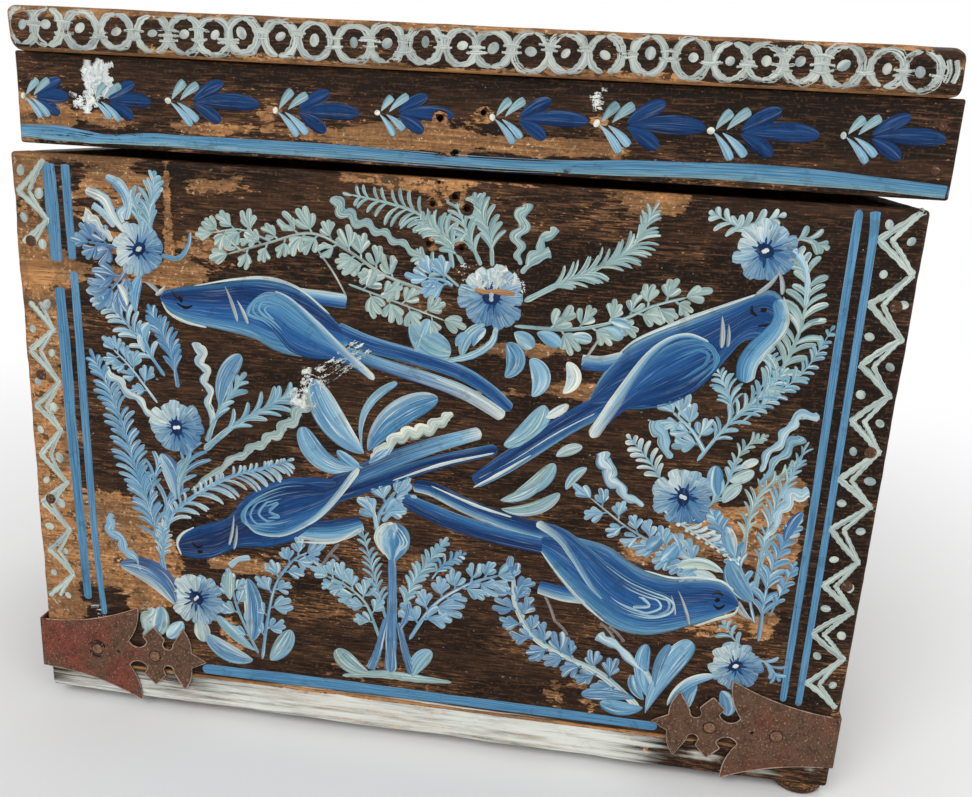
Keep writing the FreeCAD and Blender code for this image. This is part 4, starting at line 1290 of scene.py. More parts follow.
# sprigs of small lobed leaves: points, leaves on a side, size, colours, stem width, stem colours
sprigs = [
    ([(-2, 316), (-34, 325), (-57, 338), (-82, 348), (-110, 340), (-137, 331)], 10, 12, sageTone, 1.8,
        "bark sage"),
    ([(-108, 341), (-128, 347), (-146, 344)], 3, 11, sageTone, 1.2),
    ([(-58, 318), (-30, 310), (4, 300)], 4, 12, sageTone, 1.2),
    ([(48, 300), (84, 301), (112, 309), (130, 319), (150, 326)], 6, 13, sageTone, 2.0),
    ([(172, 230), (163, 243), (150, 254)], 3, 12, mistTone, 2.4),
    ([(190, 150), (170, 156), (150, 164), (128, 175), (104, 192)], 7, 12, skyTone, 1.6, "bark mist"),
    ([(150, 43), (123, 64.5), (98, 75), (75, 87), (61, 109), (58, 130)], 9, 13, "azure azure", 4.2,
        "cream ice sage"),
    ([(-117, 44), (-113, 75), (-107, 103), (-95, 123), (-84, 131)], 6, 12, skyTone, 2.0),
    ([(-120, 48), (-134, 80), (-139, 100)], 3, 12, mistTone, 2.0),
    ([(-32, 72), (-42, 97), (-56, 109), (-70, 115)], 5, 12, mistTone, 1.8, "mist mist"),
    ([(-11, 74), (4, 101), (26, 120), (48, 130)], 6, 14, skyTone, 2.2),
    ([(-188, 228), (-205, 250), (-217, 262)], 4, 10, skyTone, 1.4, "sky ice"),
    ([(-37, 153), (-33, 168), (-24, 182)], 2, 15, skyTone, 2.6),
    ([(-204, 318), (-210, 310), (-216, 303)], 2, 16, azureTone, 2.0),
    ([(-210, 330), (-220, 331), (-230, 332)], 2, 12, azureTone, 2.0),
    ([(8, 322), (2, 325), (-8, 326)], 2, 12, skyTone, 2.0)]
paintPiece("sprig_paint", bookOf(sprig, sprigs), faces["front"])

# ribbons: points, width along them, waves, sway, colours
ribbons = [
    ([(-69, 371), (-58, 360), (-41, 353), (-24, 345), (-4, 334)], (8, 6.5, 5, 4.4, 3.4), 6, 0.28, sageTone),
    ([(51, 375), (47, 355), (49, 338)], (7.5, 6.5, 3), 3, 0.34, sageTone),
    ([(69, 362), (58, 347), (51, 335)], (6, 5, 2.4), 2.5, 0.3, sageTone),
    ([(67, 347), (58, 342), (50, 333)], (7, 5, 3), 1, 0.1, sageTone),
    ([(-159, 272), (-155, 256), (-152, 238), (-150, 214)], (8, 6, 5, 4), 4, 0.34, "cream sky"),
    ([(-224, 249), (-214, 239), (-200, 227), (-188, 214)], (6, 6, 5, 4), 3, 0.24, "cream ice sky"),
    ([(-232, 350), (-224, 344), (-214, 334)], (9, 6, 4), 2.5, 0.2, "cream ice"),
    ([(-78, 250), (-90, 231), (-104, 216), (-120, 204), (-140, 190), (-166, 168)], (9, 8, 7, 6, 5, 3), 7,
        0.2, "ice sage mist"),
    ([(-41, 204), (-22, 221), (-4, 228), (12, 240)], (6, 8, 8, 6), 6, 0.2, "cream sage"),
    ([(237, 260), (223, 257), (219, 246), (212, 236), (207, 221)], (6, 6, 6, 5, 4), 3, 0.3, "ice sky"),
    ([(229, 246), (221, 237), (214, 225), (208, 212)], (8, 6, 4.6, 3), 2.5, 0.26, mistTone),
    ([(238, 211), (227, 206), (222, 191), (214, 172)], (8.5, 7.5, 5, 2.4), 3, 0.3, "ice sky"),
    ([(109, 224), (114, 210), (123, 199), (138, 190)], (10, 9, 7, 4), 3, 0.2, "sky ice azure"),
    ([(141, 248), (144, 238), (152, 224)], (12, 9, 4), 1.5, 0.16, "sky mist"),
    ([(117, 95), (130, 87.5), (146, 75), (159, 59)], (9, 6, 6, 5), 2, 0.14, "sky ice azure"),
    ([(-225, 144), (-227, 133), (-218, 121), (-207, 106), (-196, 96)], (5, 7, 7, 6, 4), 4, 0.26, "sky sky"),
    ([(-140, 114), (-134, 120), (-125, 122)], (4, 5, 4), 0.5, 0.1, "ice sky"),
    ([(-198, 74), (-203, 62), (-205, 50)], (8, 9, 4), 1.5, 0.2, "ice sage")]
paintPiece("ribbon_paint", bookOf(ribbon, ribbons), faces["front"])

# single leaves and falling petals: root, tip, width, bend, colours, place of the belly if not halfway
leaves = [
    ((-46, 207), (-80, 254), 21, 0.1, "sky azure sky ice", 0.55),
    ((-43, 209), (2, 249), 19, 0.12, "ice azure azure azure", 0.55),
    ((-46, 206), (-25, 257), 6, 0.2, "mist sky", 0.8),
    ((-44, 198), (-88, 221), 16, 0.26, "sky sky azure", 0.7),
    ((-43, 200), (-28, 213), 9, -0.05, "sky azure", 0.6),
    ((-47, 196), (-64, 207), 8, 0.05, "azure sky"),
    ((-195, 262), (-191, 282), 9, 0.16, "cream sky azure", 0.55),
    ((-191, 262), (-199, 282), 5, 0.05, "azure sky", 0.6),
    ((-144, 230), (-129, 266), 13, 0.1, "sky azure azure sky", 0.6),
    ((-200, 288), (-196, 312), 8, 0.1, "sky azure", 0.6),
    ((-206, 292), (-211, 306), 7, -0.1, "sky cream azure", 0.6),
    ((-177, 160), (-187, 192), 14, -0.1, "ice azure royal"),
    ((-175, 160), (-168, 190), 10, 0.12, "sky mist", 0.6),
    ((-180, 79), (-221, 105), 21, -0.2, "cream azure royal royal", 0.45),
    ((-182, 86), (-201, 103), 12, -0.1, "azure royal"),
    ((-124, 58), (-127, 106), 15, -0.06, "cream azure azure sky", 0.45),
    ((-124, 42), (-158, 58), 15, 0.12, "sky azure ice"),
    ((-111, 44), (-96, 70), 14, -0.06, "mist sky"),
    ((-122, 50), (-150, 74), 9, 0.04, "mist sky", 0.6),
    ((-140, 88), (-140, 110), 11, 0.05, "mist sage", 0.6),
    ((-192, 76), (-197, 52), 15, 0.06, "sage sky ice", 0.45),
    ((-176, 66), (-188, 52), 12, 0.05, "sky ice"),
    ((-164, 70), (-161, 52), 13, 0.05, "ice sage"),
    ((-39, 44), (-62, 60), 15, 0.14, "sage mist", 0.6),
    ((-8, 45), (5, 67), 13, 0.1, "sky mist", 0.55),
    ((154, 40), (179, 98), 17, 0.06, "sky sky azure", 0.75),
    ((155, 52), (150, 92), 11, 0.1, "sky azure", 0.65),
    ((159, 55), (165, 94), 9, 0.06, "azure azure", 0.6),
    ((168, 48), (197, 75), 8, 0.14, "cream sky azure", 0.55),
    ((152, 44), (123, 44), 12, 0.1, "azure sky", 0.55),
    ((146, 50), (110, 48), 11, -0.06, "azure azure", 0.6),
    ((152, 50), (143, 68), 9, 0.1, "azure sky", 0.6),
    ((186, 66), (181, 47), 9, -0.12, "sky azure"),
    ((202, 64), (208, 46), 12, 0.12, "sky azure"),
    ((199, 162), (191, 182), 11, 0.05, "azure sky cream", 0.55),
    ((183, 202), (180, 222), 11, 0.05, "sky azure", 0.55),
    ((187, 198), (197, 211), 9, 0.08, "sage ice"),
    ((189, 213), (203, 221), 9, -0.06, "sage ice"),
    ((195, 222), (205, 228), 6, 0.05, "ice cream"),
    ((151, 171), (142, 160), 11, 0.05, "azure sky"),
    ((162, 166), (153, 153), 12, 0.05, "azure sky"),
    ((214, 132), (196, 158), 15, 0.08, "azure sky"),
    ((193, 150), (163, 150), 9, -0.16, "cream sage ice", 0.6),
    ((190, 144), (174, 148), 6, -0.1, "ice sage", 0.6),
    ((228, 176), (236, 197), 8, 0.05, "royal azure"),
    ((-18, 296), (9, 280), 20, -0.12, "sky mist sky", 0.6),
    ((30, 300), (16, 278), 8, -0.16, "sky mist"),
    ((48, 296), (60, 287), 11, 0.05, "sky mist", 0.6),
    ((62, 297), (77, 290), 10, 0.05, "sky sky", 0.6),
    ((82, 296), (96, 295), 8, 0.05, "sky sage", 0.6),
    ((102, 303), (114, 297), 9, 0.1, "sky sage", 0.6),
    ((106, 308), (119, 305), 8, 0.05, "sky mist", 0.6),
    ((-14, 278), (-6, 300), 10, 0.0, "mist sky", 0.6),
    ((23, 285), (30, 297), 8, 0.15, "azure sky", 0.6),
    ((12, 284), (20, 292), 7, 0.15, "sky sky", 0.6),
    ((44, 267), (44, 289), 13, -0.28, "sky azure sky"),
    ((62, 256), (59, 280), 13, -0.26, "sky sky"),
    ((81, 260), (82, 280), 10, -0.28, "ice cream"),
    ((46, 222), (70, 251), 17, -0.16, "sky mist sky"),
    ((71, 243), (85, 253), 7, -0.05, "ice cream"),
    ((80, 218), (96, 226), 8, 0.05, "ice sage"),
    ((55, 190), (79, 213), 12, -0.12, "sage mist sky", 0.55),
    ((46, 184), (72, 201), 9, -0.1, "sage sky", 0.55),
    ((47, 178), (84, 193), 10, -0.14, "sage mist ice", 0.55),
    ((88, 196), (100, 212), 7, 0.1, "sky sage")]
# curling fingers and tendrils: points, width, colours
fingers = [
    ([(-205, 340), (-213, 350), (-218, 360), (-230, 365)], (3, 7, 8, 6), "sky cream sky"),
    ([(-204, 348), (-202, 360), (-208, 370), (-216, 374)], (4, 8, 8, 4), "azure sky ice"),
    ([(-206, 346), (-208, 352), (-203, 356)], (3, 5, 4), "sky ice"),
    ([(-181, 327), (-170, 326), (-163, 334), (-161, 343)], (3, 3.4, 3, 2), "azure sky"),
    ([(-226, 356), (-220, 352), (-212, 343)], (5, 5, 3), "sky ice"),
    ([(207, 359), (214, 352), (218, 341), (219, 326)], (5, 5, 3.5, 2), "ice sky"),
    ([(-78, 338), (-68, 325), (-59, 310)], (1.4, 1.6, 1.2), "bark sage"),
    ([(91, 279), (97, 290), (103, 301)], (1.4, 2.0, 1.2), "bark sage"),
    ([(37, 299), (34, 288), (22, 279), (6, 274)], (3, 5, 5, 3), "sky mist"),
    ([(-50, 174), (-42, 172), (-38, 164), (-36, 154)], (5, 5, 3, 3), "ice sky"),
    ([(-16, 169), (-26, 167), (-32, 160)], (4, 4, 3), "sky sky")]
leafBook = []
for root, tip, width, bend, colours, *belly in leaves:
    leaf(leafBook, root, tip, width, colours, bend, *belly, wear=0.08)
for made in fingers:
    line(leafBook, *made, lift=0.14, wear=0.08, thick=0.26)
paintPiece("leaf_paint", leafBook, faces["front"])

# tree with a bulb: trunks as points and widths, the bulb's two edges, arcs round its middle
treeLook = dict(
    ground=[(-58, 39), (-30, 44), (-5, 44), (20, 44.5)],
    trunks=[([(-23.5, 46), (-24, 85), (-24, 110), (-25, 137)], (9, 8, 6.5, 6)),
            ([(-38, 47), (-33, 62), (-28, 88)], (7, 6, 4)), ([(-8, 47), (-13, 62), (-19, 86)], (7, 6, 4)),
            ([(-19, 80), (-14, 90), (-12, 102)], (3, 5, 4))],
    bulbLeft=[(-27, 132), (-35, 143), (-36, 151), (-31, 158), (-23.5, 160)],
    bulbRight=[(-22, 132), (-14, 141), (-12.5, 150), (-16, 157), (-23, 160)],
    arcs=(9, 6.6, 4.2), arcX=-24, arcFoot=147, arcTop=149, arcEnd=140,
    shine=[(-30, 136), (-35, 144), (-35.5, 151), (-31, 157), (-25, 159.5)])
treeBook = []
line(treeBook, treeLook["ground"], (3, 7, 7, 2), sageTone, lift=0.08, wear=0.12)
for points, width in treeLook["trunks"]:
    line(treeBook, points, width, "azure royal azure stripe", lift=0.16, wear=0.06, thick=0.3)
lens(treeBook, treeLook["bulbLeft"], treeLook["bulbRight"], "cream sky azure azure sky", lift=0.3, wear=0.05,
     thick=0.3, across=11)
for r in treeLook["arcs"]:
    x, foot = treeLook["arcX"], treeLook["arcFoot"]
    arc = [(x - r, foot), (x, treeLook["arcTop"] + r), (x + r, foot), (x + 0.5 * r, treeLook["arcEnd"])]
    line(treeBook, arc, (0.8, 1.4, 0.9), "ice", lift=0.66, wear=0.15, thick=0.1)
line(treeBook, treeLook["shine"], (2, 4, 3.5, 2.5), "cream ice", lift=0.7, wear=0.06, thick=0.2)
paintPiece("tree_paint", treeBook, faces["front"])

# border stripes, the last one along the bottom: centre line, width, wear; the left pair is broken at about
# z 300 to 320
stripes = [
    ([(-254.4, 380), (-253.6, 350), (-253, 318)], (9.5, 9.8, 8.6), 0.24),
    ([(-252.4, 301), (-251, 250), (-250.4, 200), (-248.6, 130), (-247, 75)], (7.4, 8.2, 7.8, 7.2, 6.4),
        0.22),
    ([(-243, 380), (-242.6, 350), (-242, 320)], (6.6, 6.4, 6), 0.24),
    ([(-241.6, 312), (-240.8, 260), (-240.2, 200), (-238.6, 120), (-235.2, 64)], (6, 6.2, 6, 5.4, 5), 0.22),
    ([(241, 384), (241.5, 300), (242.5, 200), (242.4, 120), (242.4, 62)], (5, 5, 4.7, 4.8, 4.6), 0.08),
    ([(249.8, 383.6), (251, 365), (251.6, 300), (252.2, 200), (252.4, 120), (252.6, 60)],
        (6.6, 5.2, 5, 4.9, 4.8, 4.8), 0.08),
    ([(-162, 30), (-100, 30.6), (-40, 31), (20, 31), (90, 31), (163, 30.5)], (8, 9.5, 8.6, 8, 8, 7), 0.1)]
stripeBook = []
for points, width, wear in stripes:
    line(stripeBook, points, width, "stripe azure stripe", rounded=0.006, shake=0.03, lift=0.08,
         wear=wear + 0.08, thick=0.14)
    hairs(stripeBook, points, width, "stripe", 3, 0.4)
paintPiece("stripe_paint", stripeBook, faces["front"], streak=0.05, vary=0.04)

# zigzag borders: double line between two columns of points, dots in the bays; worn: (high, low) stretches
zigzags = dict(
    right=dict(inner=255, outer=275.5, top=384, step=17.95, count=18, wear=0.12, first=1, worn=[]),
    left=dict(inner=-258, outer=-275.5, top=381, step=18.0, count=18, wear=0.17, first=0,
        worn=[(330, 290), (84, 60)]))
# lines: (mm to the right, share of the way, width, lift), a small V in the big one; bays: mm in from the
# border's sides
zigzagLook = dict(
    lines=((0.0, 1.04, (4.4, 3.8, 4.2), 0.1), (7.6, 0.97, (3.2, 3.0, 2.8), 0.15)), up=2, aside=1.3,
    gone=0.5, vary=(-0.08, 0.12), overlap=(0.0, 0.05), reach=(0.97, 1.02), bow=0.8, wear=0.14,
    innerBay=4, outerBay=2.6, topBay=7, bayVary=1, dot=(2.5, 3.3), dotWear=0.1)


def zigzag(book, made, look):
    count = made["count"]
    turn = 1 if made["outer"] > made["inner"] else -1
    outside = (np.arange(count + 1) + made["first"]) % 2 == 1
    level = made["top"] - made["step"] * np.arange(count + 1) + jitter(look["up"], count + 1)
    side = np.where(outside, made["outer"], made["inner"]) + jitter(look["aside"], count + 1)
    corners = np.stack([side, level], 1)
    for k in range(count):
        gone = any(low < level[k] < high for high, low in made["worn"])
        wear = made["wear"] + (look["gone"] if gone else 0.0) + pick(look["vary"])
        left, right = sorted(corners[k:k + 2], key=lambda corner: corner[0])
        for shift, reach, width, lift in look["lines"]:
            start = left + np.array([shift, 0.0]) - (right - left) * pick(look["overlap"])
            end = left + (right - left) * reach * pick(look["reach"])
            bow = (start + end) / 2 + jitter(look["bow"], 2)
            line(book, [start, bow, end], width, "bone", shake=0.14, lift=lift, wear=wear + look["wear"],
                 thick=0.14)
        if not gone or k % 2:
            x = made["outer"] - turn * look["outerBay"]
            if outside[k]:
                x = made["inner"] + turn * look["innerBay"]
            bay = np.array([x, min(level[k], made["top"] - look["topBay"])]) + jitter(look["bayVary"], 2)
            dot(book, bay, pick(look["dot"]), "bone", lift=0.14, wear=made["wear"] + look["dotWear"])


zigzagBook = bookOf(zigzag, [[made, zigzagLook] for made in zigzags.values()])
paintPiece("zigzag_paint", zigzagBook, faces["front"], streak=0.15, vary=0.08)

# white scuffs: centre, half length and half width of the place, lean in degrees, count
scuffs = [((-60, 268), 22, 7, 35, 26), ((-84, 244), 12, 9, 60, 14), ((-240, 66), 10, 5, 10, 5),
          ((-200, 76), 9, 6, 40, 6)]
scuffLook = dict(along=0.6, shortest=4, longest=0.8, bow=1, width=(0.7, 2.2))
scuffBook = []
for centre, long, wide, lean, count in scuffs:
    way, side = toward(radians(lean)), toward(radians(lean + 90))
    for k in range(count):
        middle = np.array(centre) + jitter(long) * scuffLook["along"] * way + jitter(wide) * side
        half = way * dice.uniform(scuffLook["shortest"], long * scuffLook["longest"]) / 2
        bow = jitter(scuffLook["bow"], 2)
        line(scuffBook, [middle - half, middle + bow, middle + half], pick(scuffLook["width"]), "chalk",
             shake=0.4, lift=1.3, wear=0.66, thick=0.08)
smear(scuffBook, (-80, 254), 8, 6, 14, 0.68)
smear(scuffBook, (-90, 240), 4, 6, 8, 0.56)
paintPiece("scuff_paint", scuffBook, faces["front"])

# lid edge: rings with a dot inside, joined by short bars
rings = dict(
    at=[-261.5, -245, -223, -201, -178, -158, -140, -122, -99.5, -78.6, -55, -36, -13.5, 8, 26, 48, 68.5, 90,
        114, 137.5, 159, 177, 197, 219, 242, 260],
    end=279, z=460.2, up=0.9, halfWide=(8.8, 10.6), halfHigh=(9.4, 10.6), wear=(0.3, 0.46), arc=(1.45, 1.8),
    arcTurn=0.15, arcWidth=(2.2, 5.0, 4.4, 5.2, 2.2), broad=(0.85, 1.2), shade=(0.85, 1.1), dotX=1,
    dotZ=(-0.5, 1.5), dot=(2.6, 3.4), bars=3, barZ=4.5, barHalf=(3.5, 7), barBow=1, barWidth=(1.2, 2.6, 1.2))


def ring(book, x, after, look):
    rx, rz = pick(look["halfWide"]), pick(look["halfHigh"])
    z = look["z"] + jitter(look["up"])
    wear = pick(look["wear"])
    for way in (-1, 1):  # two arcs that meet or cross at the top and at the bottom
        reach = pick(look["arc"])
        turn = np.linspace(reach, -reach, 7) + jitter(look["arcTurn"])
        arc = np.stack([x + way * rx * np.cos(turn), z + rz * np.sin(turn)], 1)
        width = pick(look["broad"]) * np.array(look["arcWidth"])
        line(book, arc, width, tones("haze") * pick(look["shade"]), rounded=0.05, shake=0.12, wear=wear,
             thick=0.12)
    centre = (x + jitter(look["dotX"]), z + pick(look["dotZ"]))
    dot(book, centre, pick(look["dot"]), "haze", lift=0.14, wear=0.2)
    middle = (x + after) / 2
    for bar in jitter(look["barZ"], look["bars"]):
        half, bow = pick(look["barHalf"]), jitter(look["barBow"])
        path = [(middle - half, z + bar), (middle, z + bar + bow), (middle + half, z + bar * 0.8)]
        line(book, path, look["barWidth"], "haze", shake=0.2, lift=0.18, wear=wear + 0.1, thick=0.12)


ringBook = []
for x, after in zip(rings["at"], rings["at"][1:] + [rings["end"]]):
    ring(ringBook, x, after, rings)
for x in (273, 277):
    line(ringBook, [(x, 466), (x + 1.5, 460), (x, 454)], 3, "haze", wear=0.44)
paintPiece("ring_paint", ringBook, faces["top"], streak=0.25, vary=0.1)

# lid rail: blue band in two lengths (first point, one past the last, wear), and sprigs of a dot, four pale
# dabs and a blue tulip; sprigs: (dot x, z, length, size), petals: (share of the length, z, along, up,
# width), dabs: (lean in degrees, mm along, length, width)
rail = dict(
    band=[(-271, 399), (-240, 398.5), (-215, 397), (-180, 398.5), (-120, 398.4), (-60, 398.3), (4, 396.8),
        (60, 397), (110, 399), (170, 400.5), (230, 399.5), (287.6, 396.5)],
    bandWide=(9, 10, 6, 8, 7.6, 8, 5.4, 6.6, 9.6, 10.6, 9.6, 7.5), lengths=((0, 5, 0.42), (3, 12, 0.26)),
    sprigs=[(-268, 420, 30, 0.9), (-222, 420, 38, 0.9), (-173, 422, 58, 1.0), (-105, 420, 52, 1.0),
        (-42, 422, 46, 0.9), (27, 423, 56, 0.95), (88, 423, 62, 1.1), (153, 422.5, 60, 1.1),
        (226, 424, 55, 1.0)],
    middle=(0.3, 10.5), petals=((0.28, 1, 19, 12, 9), (0.28, -1, 17, -11, 9)), petalShade=0.84,
    dabs=((52, 2.5, 13, 4.6), (40, 8, 15, 4.6), (-48, 1.5, 17, 4.0), (-40, 6, 17, 4.0)),
    dabLean=(0.9, 1.1), dabReach=(0.9, 1.12), dot=2.0)


def railSprig(book, x, z, long, size, look):
    start, wide = look["middle"]
    petals = [((x + start * long, z), (x + long, z + 0.5), wide)]
    for start, up, out, rise, wide in look["petals"]:
        petals.append(((x + start * long, z + up), (x + start * long + out * size, z + rise * size), wide))
    for root, tip, width in petals:
        leaf(book, root, tip, width * size, tones("deep deep navy") * look["petalShade"], 0.03, 0.6, 0.05,
             0.1, 0.36)
    for lean, step, reach, width in look["dabs"]:
        up, tone = (0.8, "mist") if lean > 0 else (-0.8, "sky")
        way = toward(radians(lean * pick(look["dabLean"])))
        root = np.array([x + step * size, z + up])
        dab(book, root, root + reach * size * pick(look["dabReach"]) * way, width * size, tone + " ice",
            0.05, 0.2, lift=0.6, wear=0.24, thick=0.3, far=paints[tone])
    dot(book, (x, z), look["dot"] * size, "cream", lift=0.5, wear=0.05)


railBook = []
for first, last, wear in rail["lengths"]:  # the left end has chipped most
    line(railBook, rail["band"][first:last], rail["bandWide"][first:last], "stripe stripe mist",
         rounded=0.002, lift=0.08, wear=wear, thick=0.14)
hairs(railBook, rail["band"][3:], 8.0, "stripe", 5, 0.4)
for made in rail["sprigs"]:
    railSprig(railBook, *made, rail)
smear(railBook, (-219, 434), 7, 8, 40, 0.44)
smear(railBook, (-227, 419), 8, 4, 12, 0.56)
smear(railBook, (88, 437), 4, 4, 7, 0.66)
paintPiece("rail_paint", railBook, faces["rail"], streak=0.08, vary=0.0)
print("ornament painted")

# CAD nodes that stay: ironwork and feet
for name, piece in nodes.items():
    if piece.hide_render:
        continue
    piece.data.materials.clear()
    if name.startswith("foot"):
        piece.data.materials.append(paintedAlongX)
    elif "nails" in name:
        piece.data.materials.append(ironNailWearAndHighlight if name == "strap_nails" else ironNail)
    else:
        piece.data.materials.append(ironRed if name == "corner_strap_front_left" else ironPlain)


# longest loop of edges round the faces that look to the front, near the front
def frontOutline(mesh, depth):
    spots = meshPoints(mesh)
    first, same = merged(spots)
    front = [p for p in mesh.polygons if p.normal.y < -0.9 and p.center.y < spots[:, 1].min() + depth * mm]
    edges = np.sort(np.concatenate([same[np.array(p.edge_keys)] for p in front]), axis=1)
    edges, uses = np.unique(edges, axis=0, return_counts=True)
    links = {}
    for a, b in edges[uses == 1].tolist():
        links.setdefault(a, []).append(b)
        links.setdefault(b, []).append(a)
    loops = []
    while links:  # walk from point to point until no neighbour is left
        chain = [next(iter(links))]
        ahead = links.pop(chain[0])
        while any(v in links for v in ahead):
            chain.append(next(v for v in ahead if v in links))
            ahead = links.pop(chain[-1])
        loops.append(chain)
    return spots[first[max(loops, key=len)]]


# in mm: radius of the profile and its sides, how far in from the edge it lies, how much of the bent corner
# has no rim, steps along it, depth of the front; then the radius from place to place
rimLook = dict(radius=0.4, sides=6, inset=0.32, corner=4.0, step=1.0, depth=8.0, mean=0.75, vary=0.5,
               least=0.25, most=1.1)


# rim of a strap, lighter than the iron both as wear and as a painted highlight along its edge: a thin round
# profile carried along the outline of its front face
def strapRim(name, look):
    path = frontOutline(nodes[name].data, look["depth"])
    bend = path[:, 0].min() if "left" in name else path[:, 0].max()
    kept = np.abs(path[:, 0] - bend) > look["corner"] * mm
    start = int(np.argmin(kept))
    path = np.roll(path, -start, axis=0)[np.roll(kept, -start)]
    run = np.concatenate([[0], np.cumsum(np.linalg.norm(np.diff(path, axis=0), axis=1))])
    even = np.linspace(0, run[-1], int(run[-1] / (look["step"] * mm)))
    path = np.stack([np.interp(even, run, path[:, k]) for k in range(3)], 1)
    way = unit(np.gradient(path, axis=0))
    # which way round it goes
    turn = np.sign(np.sum(path[:-1, 0] * path[1:, 2] - path[1:, 0] * path[:-1, 2]))
    inward = np.stack([-way[:, 2], np.zeros(len(path)), way[:, 0]], 1) * turn
    radius = np.clip(look["mean"] + look["vary"] * ripple(path, 0.02, 5), look["least"], look["most"])
    around = circle(look["sides"]) * turn
    profile = inward[:, None] * np.cos(around)[:, None] + np.array([0, -1.0, 0]) * np.sin(around)[:, None]
    profile = profile * (look["radius"] * mm * radius)[:, None, None]
    points = (path + inward * look["inset"] * mm)[:, None] + profile
    index = np.arange(len(path) * look["sides"]).reshape(len(path), -1)
    addMesh(name + "_rim", points.reshape(-1, 3), tubeFaces(index[:, ::-1]), ironWornEdgeHighlight, "chest")


for name in ("corner_strap_front_left", "corner_strap_front_right"):
    strapRim(name, rimLook)

# dark collars round the strap nails, dirt and painted shade of the gap round their heads, and a torn lip at
# one of them: a round profile carried round an arc
# rows: x from the strap's bend, radius of the arc and of the profile in mm, first angle and sweep
collars = dict(
    corner_strap_front_left=[(44.05, 4.2, 0.45, 0.0, 6.2), (88.05, 4.2, 0.45, 0.4, 6.2),
        (44.05, 6.0, 1.1, 0.3, 2.3), (44.05, 6.2, 0.8, 3.4, 1.9)],
    corner_strap_front_right=[(40.0, 4.2, 0.45, 0.0, 6.2), (84.0, 4.2, 0.45, 0.4, 6.2)])
collarLook = dict(z=45.0, steps=33, sides=8, slimmest=0.25)


def strapDirtAndShade(name, rounds, look):
    low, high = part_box(name)
    u, v = np.meshgrid(np.linspace(0, 1, look["steps"]), circle(look["sides"]), indexing="ij")
    points, polygons = [], []
    for place, big, small, first, sweep in rounds:
        a = first + sweep * u
        slim = small * (look["slimmest"] + (1 - look["slimmest"]) * np.sin(pi * u) ** 0.5)
        out = big + slim * np.cos(v)
        x = low.x + place * mm if "left" in name else high.x - place * mm
        own = [x + out * np.cos(a) * mm, low.y - slim * np.sin(v) * mm, (look["z"] + out * np.sin(a)) * mm]
        polygons += tubeFaces(np.arange(u.size).reshape(u.shape) + u.size * len(points))
        points.append(np.stack(own, -1).reshape(-1, 3))
    addMesh(name + "_dirt_and_shade", np.concatenate(points), polygons, ironDirtAndShade, "chest")


for name, rounds in collars.items():
    strapDirtAndShade(name, rounds, collarLook)
print("ironwork finished")


def seenRays(tree):  # 1 for what the camera sees, straight or by way of a shine
    path = node(tree, "LightPath").outputs
    shine = plus(tree, path["Is Glossy Ray"], path["Is Transmission Ray"])
    return calc(tree, "ADD", path["Is Camera Ray"], shine, True)


# stage: floor that fades to white, soft lights, camera
stageLook = dict(size=14.0, near=0.3, far=1.2, albedo=0.85, skyLight=0.5)
reach = stageLook["size"]
floorMesh = bpy.data.meshes.new("floor")
floorMesh.from_pydata([(-reach, -reach, 0), (reach, -reach, 0), (reach, reach, 0), (-reach, reach, 0)], [],
                      [(0, 1, 2, 3)])
floor = bpy.data.objects.new("floor", floorMesh)
link(floor)
made, tree, shader = newMaterial("floorWhite", 0.9)
shader.inputs["Base Color"].default_value = (stageLook["albedo"],) * 3 + (1,)
shader.inputs["Specular IOR Level"].default_value = 0.0
away = node(tree, "VectorMath", operation="LENGTH")
tree.links.new(objectVector(tree), away.inputs[0])
fade = between(tree, away.outputs["Value"], stageLook["near"], stageLook["far"])
glow = node(tree, "Emission", Strength=1.0)
mixed = node(tree, "MixShader")
feed(tree, mixed.inputs[0], times(tree, fade, seenRays(tree)))
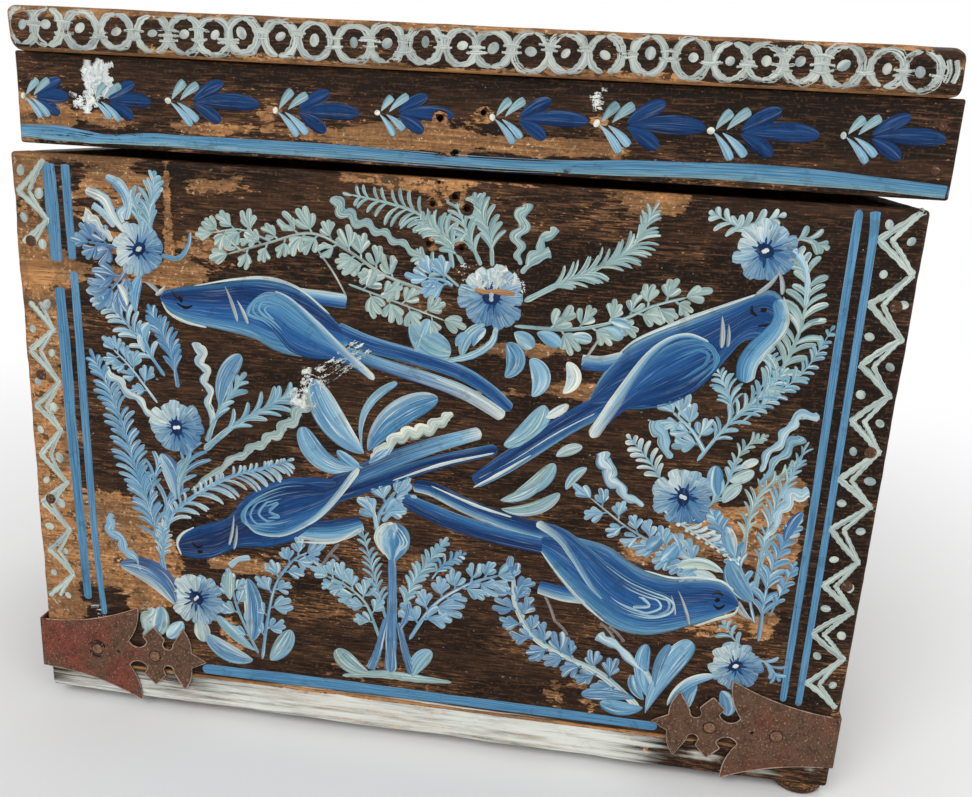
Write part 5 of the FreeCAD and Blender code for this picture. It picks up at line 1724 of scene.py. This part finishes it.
tree.links.new(shader.outputs[0], mixed.inputs[1])
tree.links.new(glow.outputs[0], mixed.inputs[2])
tree.links.new(mixed.outputs[0], tree.nodes["Material Output"].inputs["Surface"])
floorMesh.materials.append(made)

world = bpy.data.worlds.new("studio")
bpy.context.scene.world = world
world.use_nodes = True
tree = world.node_tree
sky = tree.nodes["Background"]
sky.inputs["Color"].default_value = (1, 1, 1, 1)
feed(tree, sky.inputs["Strength"], between(tree, seenRays(tree), 0.0, 1.0, stageLook["skyLight"], 1.0))

# lights: place, size, power; all look at the same point
lights = dict(key=((-0.9, -2.2, 2.1), 1.6, 38), fill=((1.6, -1.8, 1.3), 1.6, 18),
              back=((0.4, 1.8, 2.2), 1.6, 26))
lookAt = Vector((0, 0, 0.25))
for name, (place, size, power) in lights.items():
    lamp = bpy.data.lights.new(name, "AREA")
    lamp.shape, lamp.size, lamp.energy = "DISK", size, power
    lampObject = bpy.data.objects.new(name, lamp)
    lampObject.location = place
    lampObject.rotation_euler = (lookAt - Vector(place)).to_track_quat("-Z", "Y").to_euler()
    link(lampObject)

# camera: mm from the middle of the body's lower front edge, degrees left, down and round its own axis
shot = dict(place=(104.84, -581.1, 422.57), yaw=7.068, pitch=16.246, roll=3.261, lens=35.62, sensor=36.0,
            nearest=0.01)
camera = bpy.data.cameras.new("camera")
camera.lens, camera.sensor_width, camera.sensor_fit = shot["lens"], shot["sensor"], "HORIZONTAL"
camera.clip_start = shot["nearest"]
cameraObject = bpy.data.objects.new("camera", camera)
yaw, pitch, roll = [radians(shot[k]) for k in ("yaw", "pitch", "roll")]
turn = Matrix.Rotation(yaw, 4, "Z") @ Matrix.Rotation(pi / 2 - pitch, 4, "X")
turn = turn @ Matrix.Rotation(roll, 4, "Z")
place = np.array(shot["place"]) * mm + np.array([bodyX, bodyLow[1], baseZ])
cameraObject.matrix_world = Matrix.Translation(place.tolist()) @ turn
link(cameraObject)
bpy.context.scene.camera = cameraObject
bpy.context.scene.view_settings.view_transform = "Standard"
print("stage set")
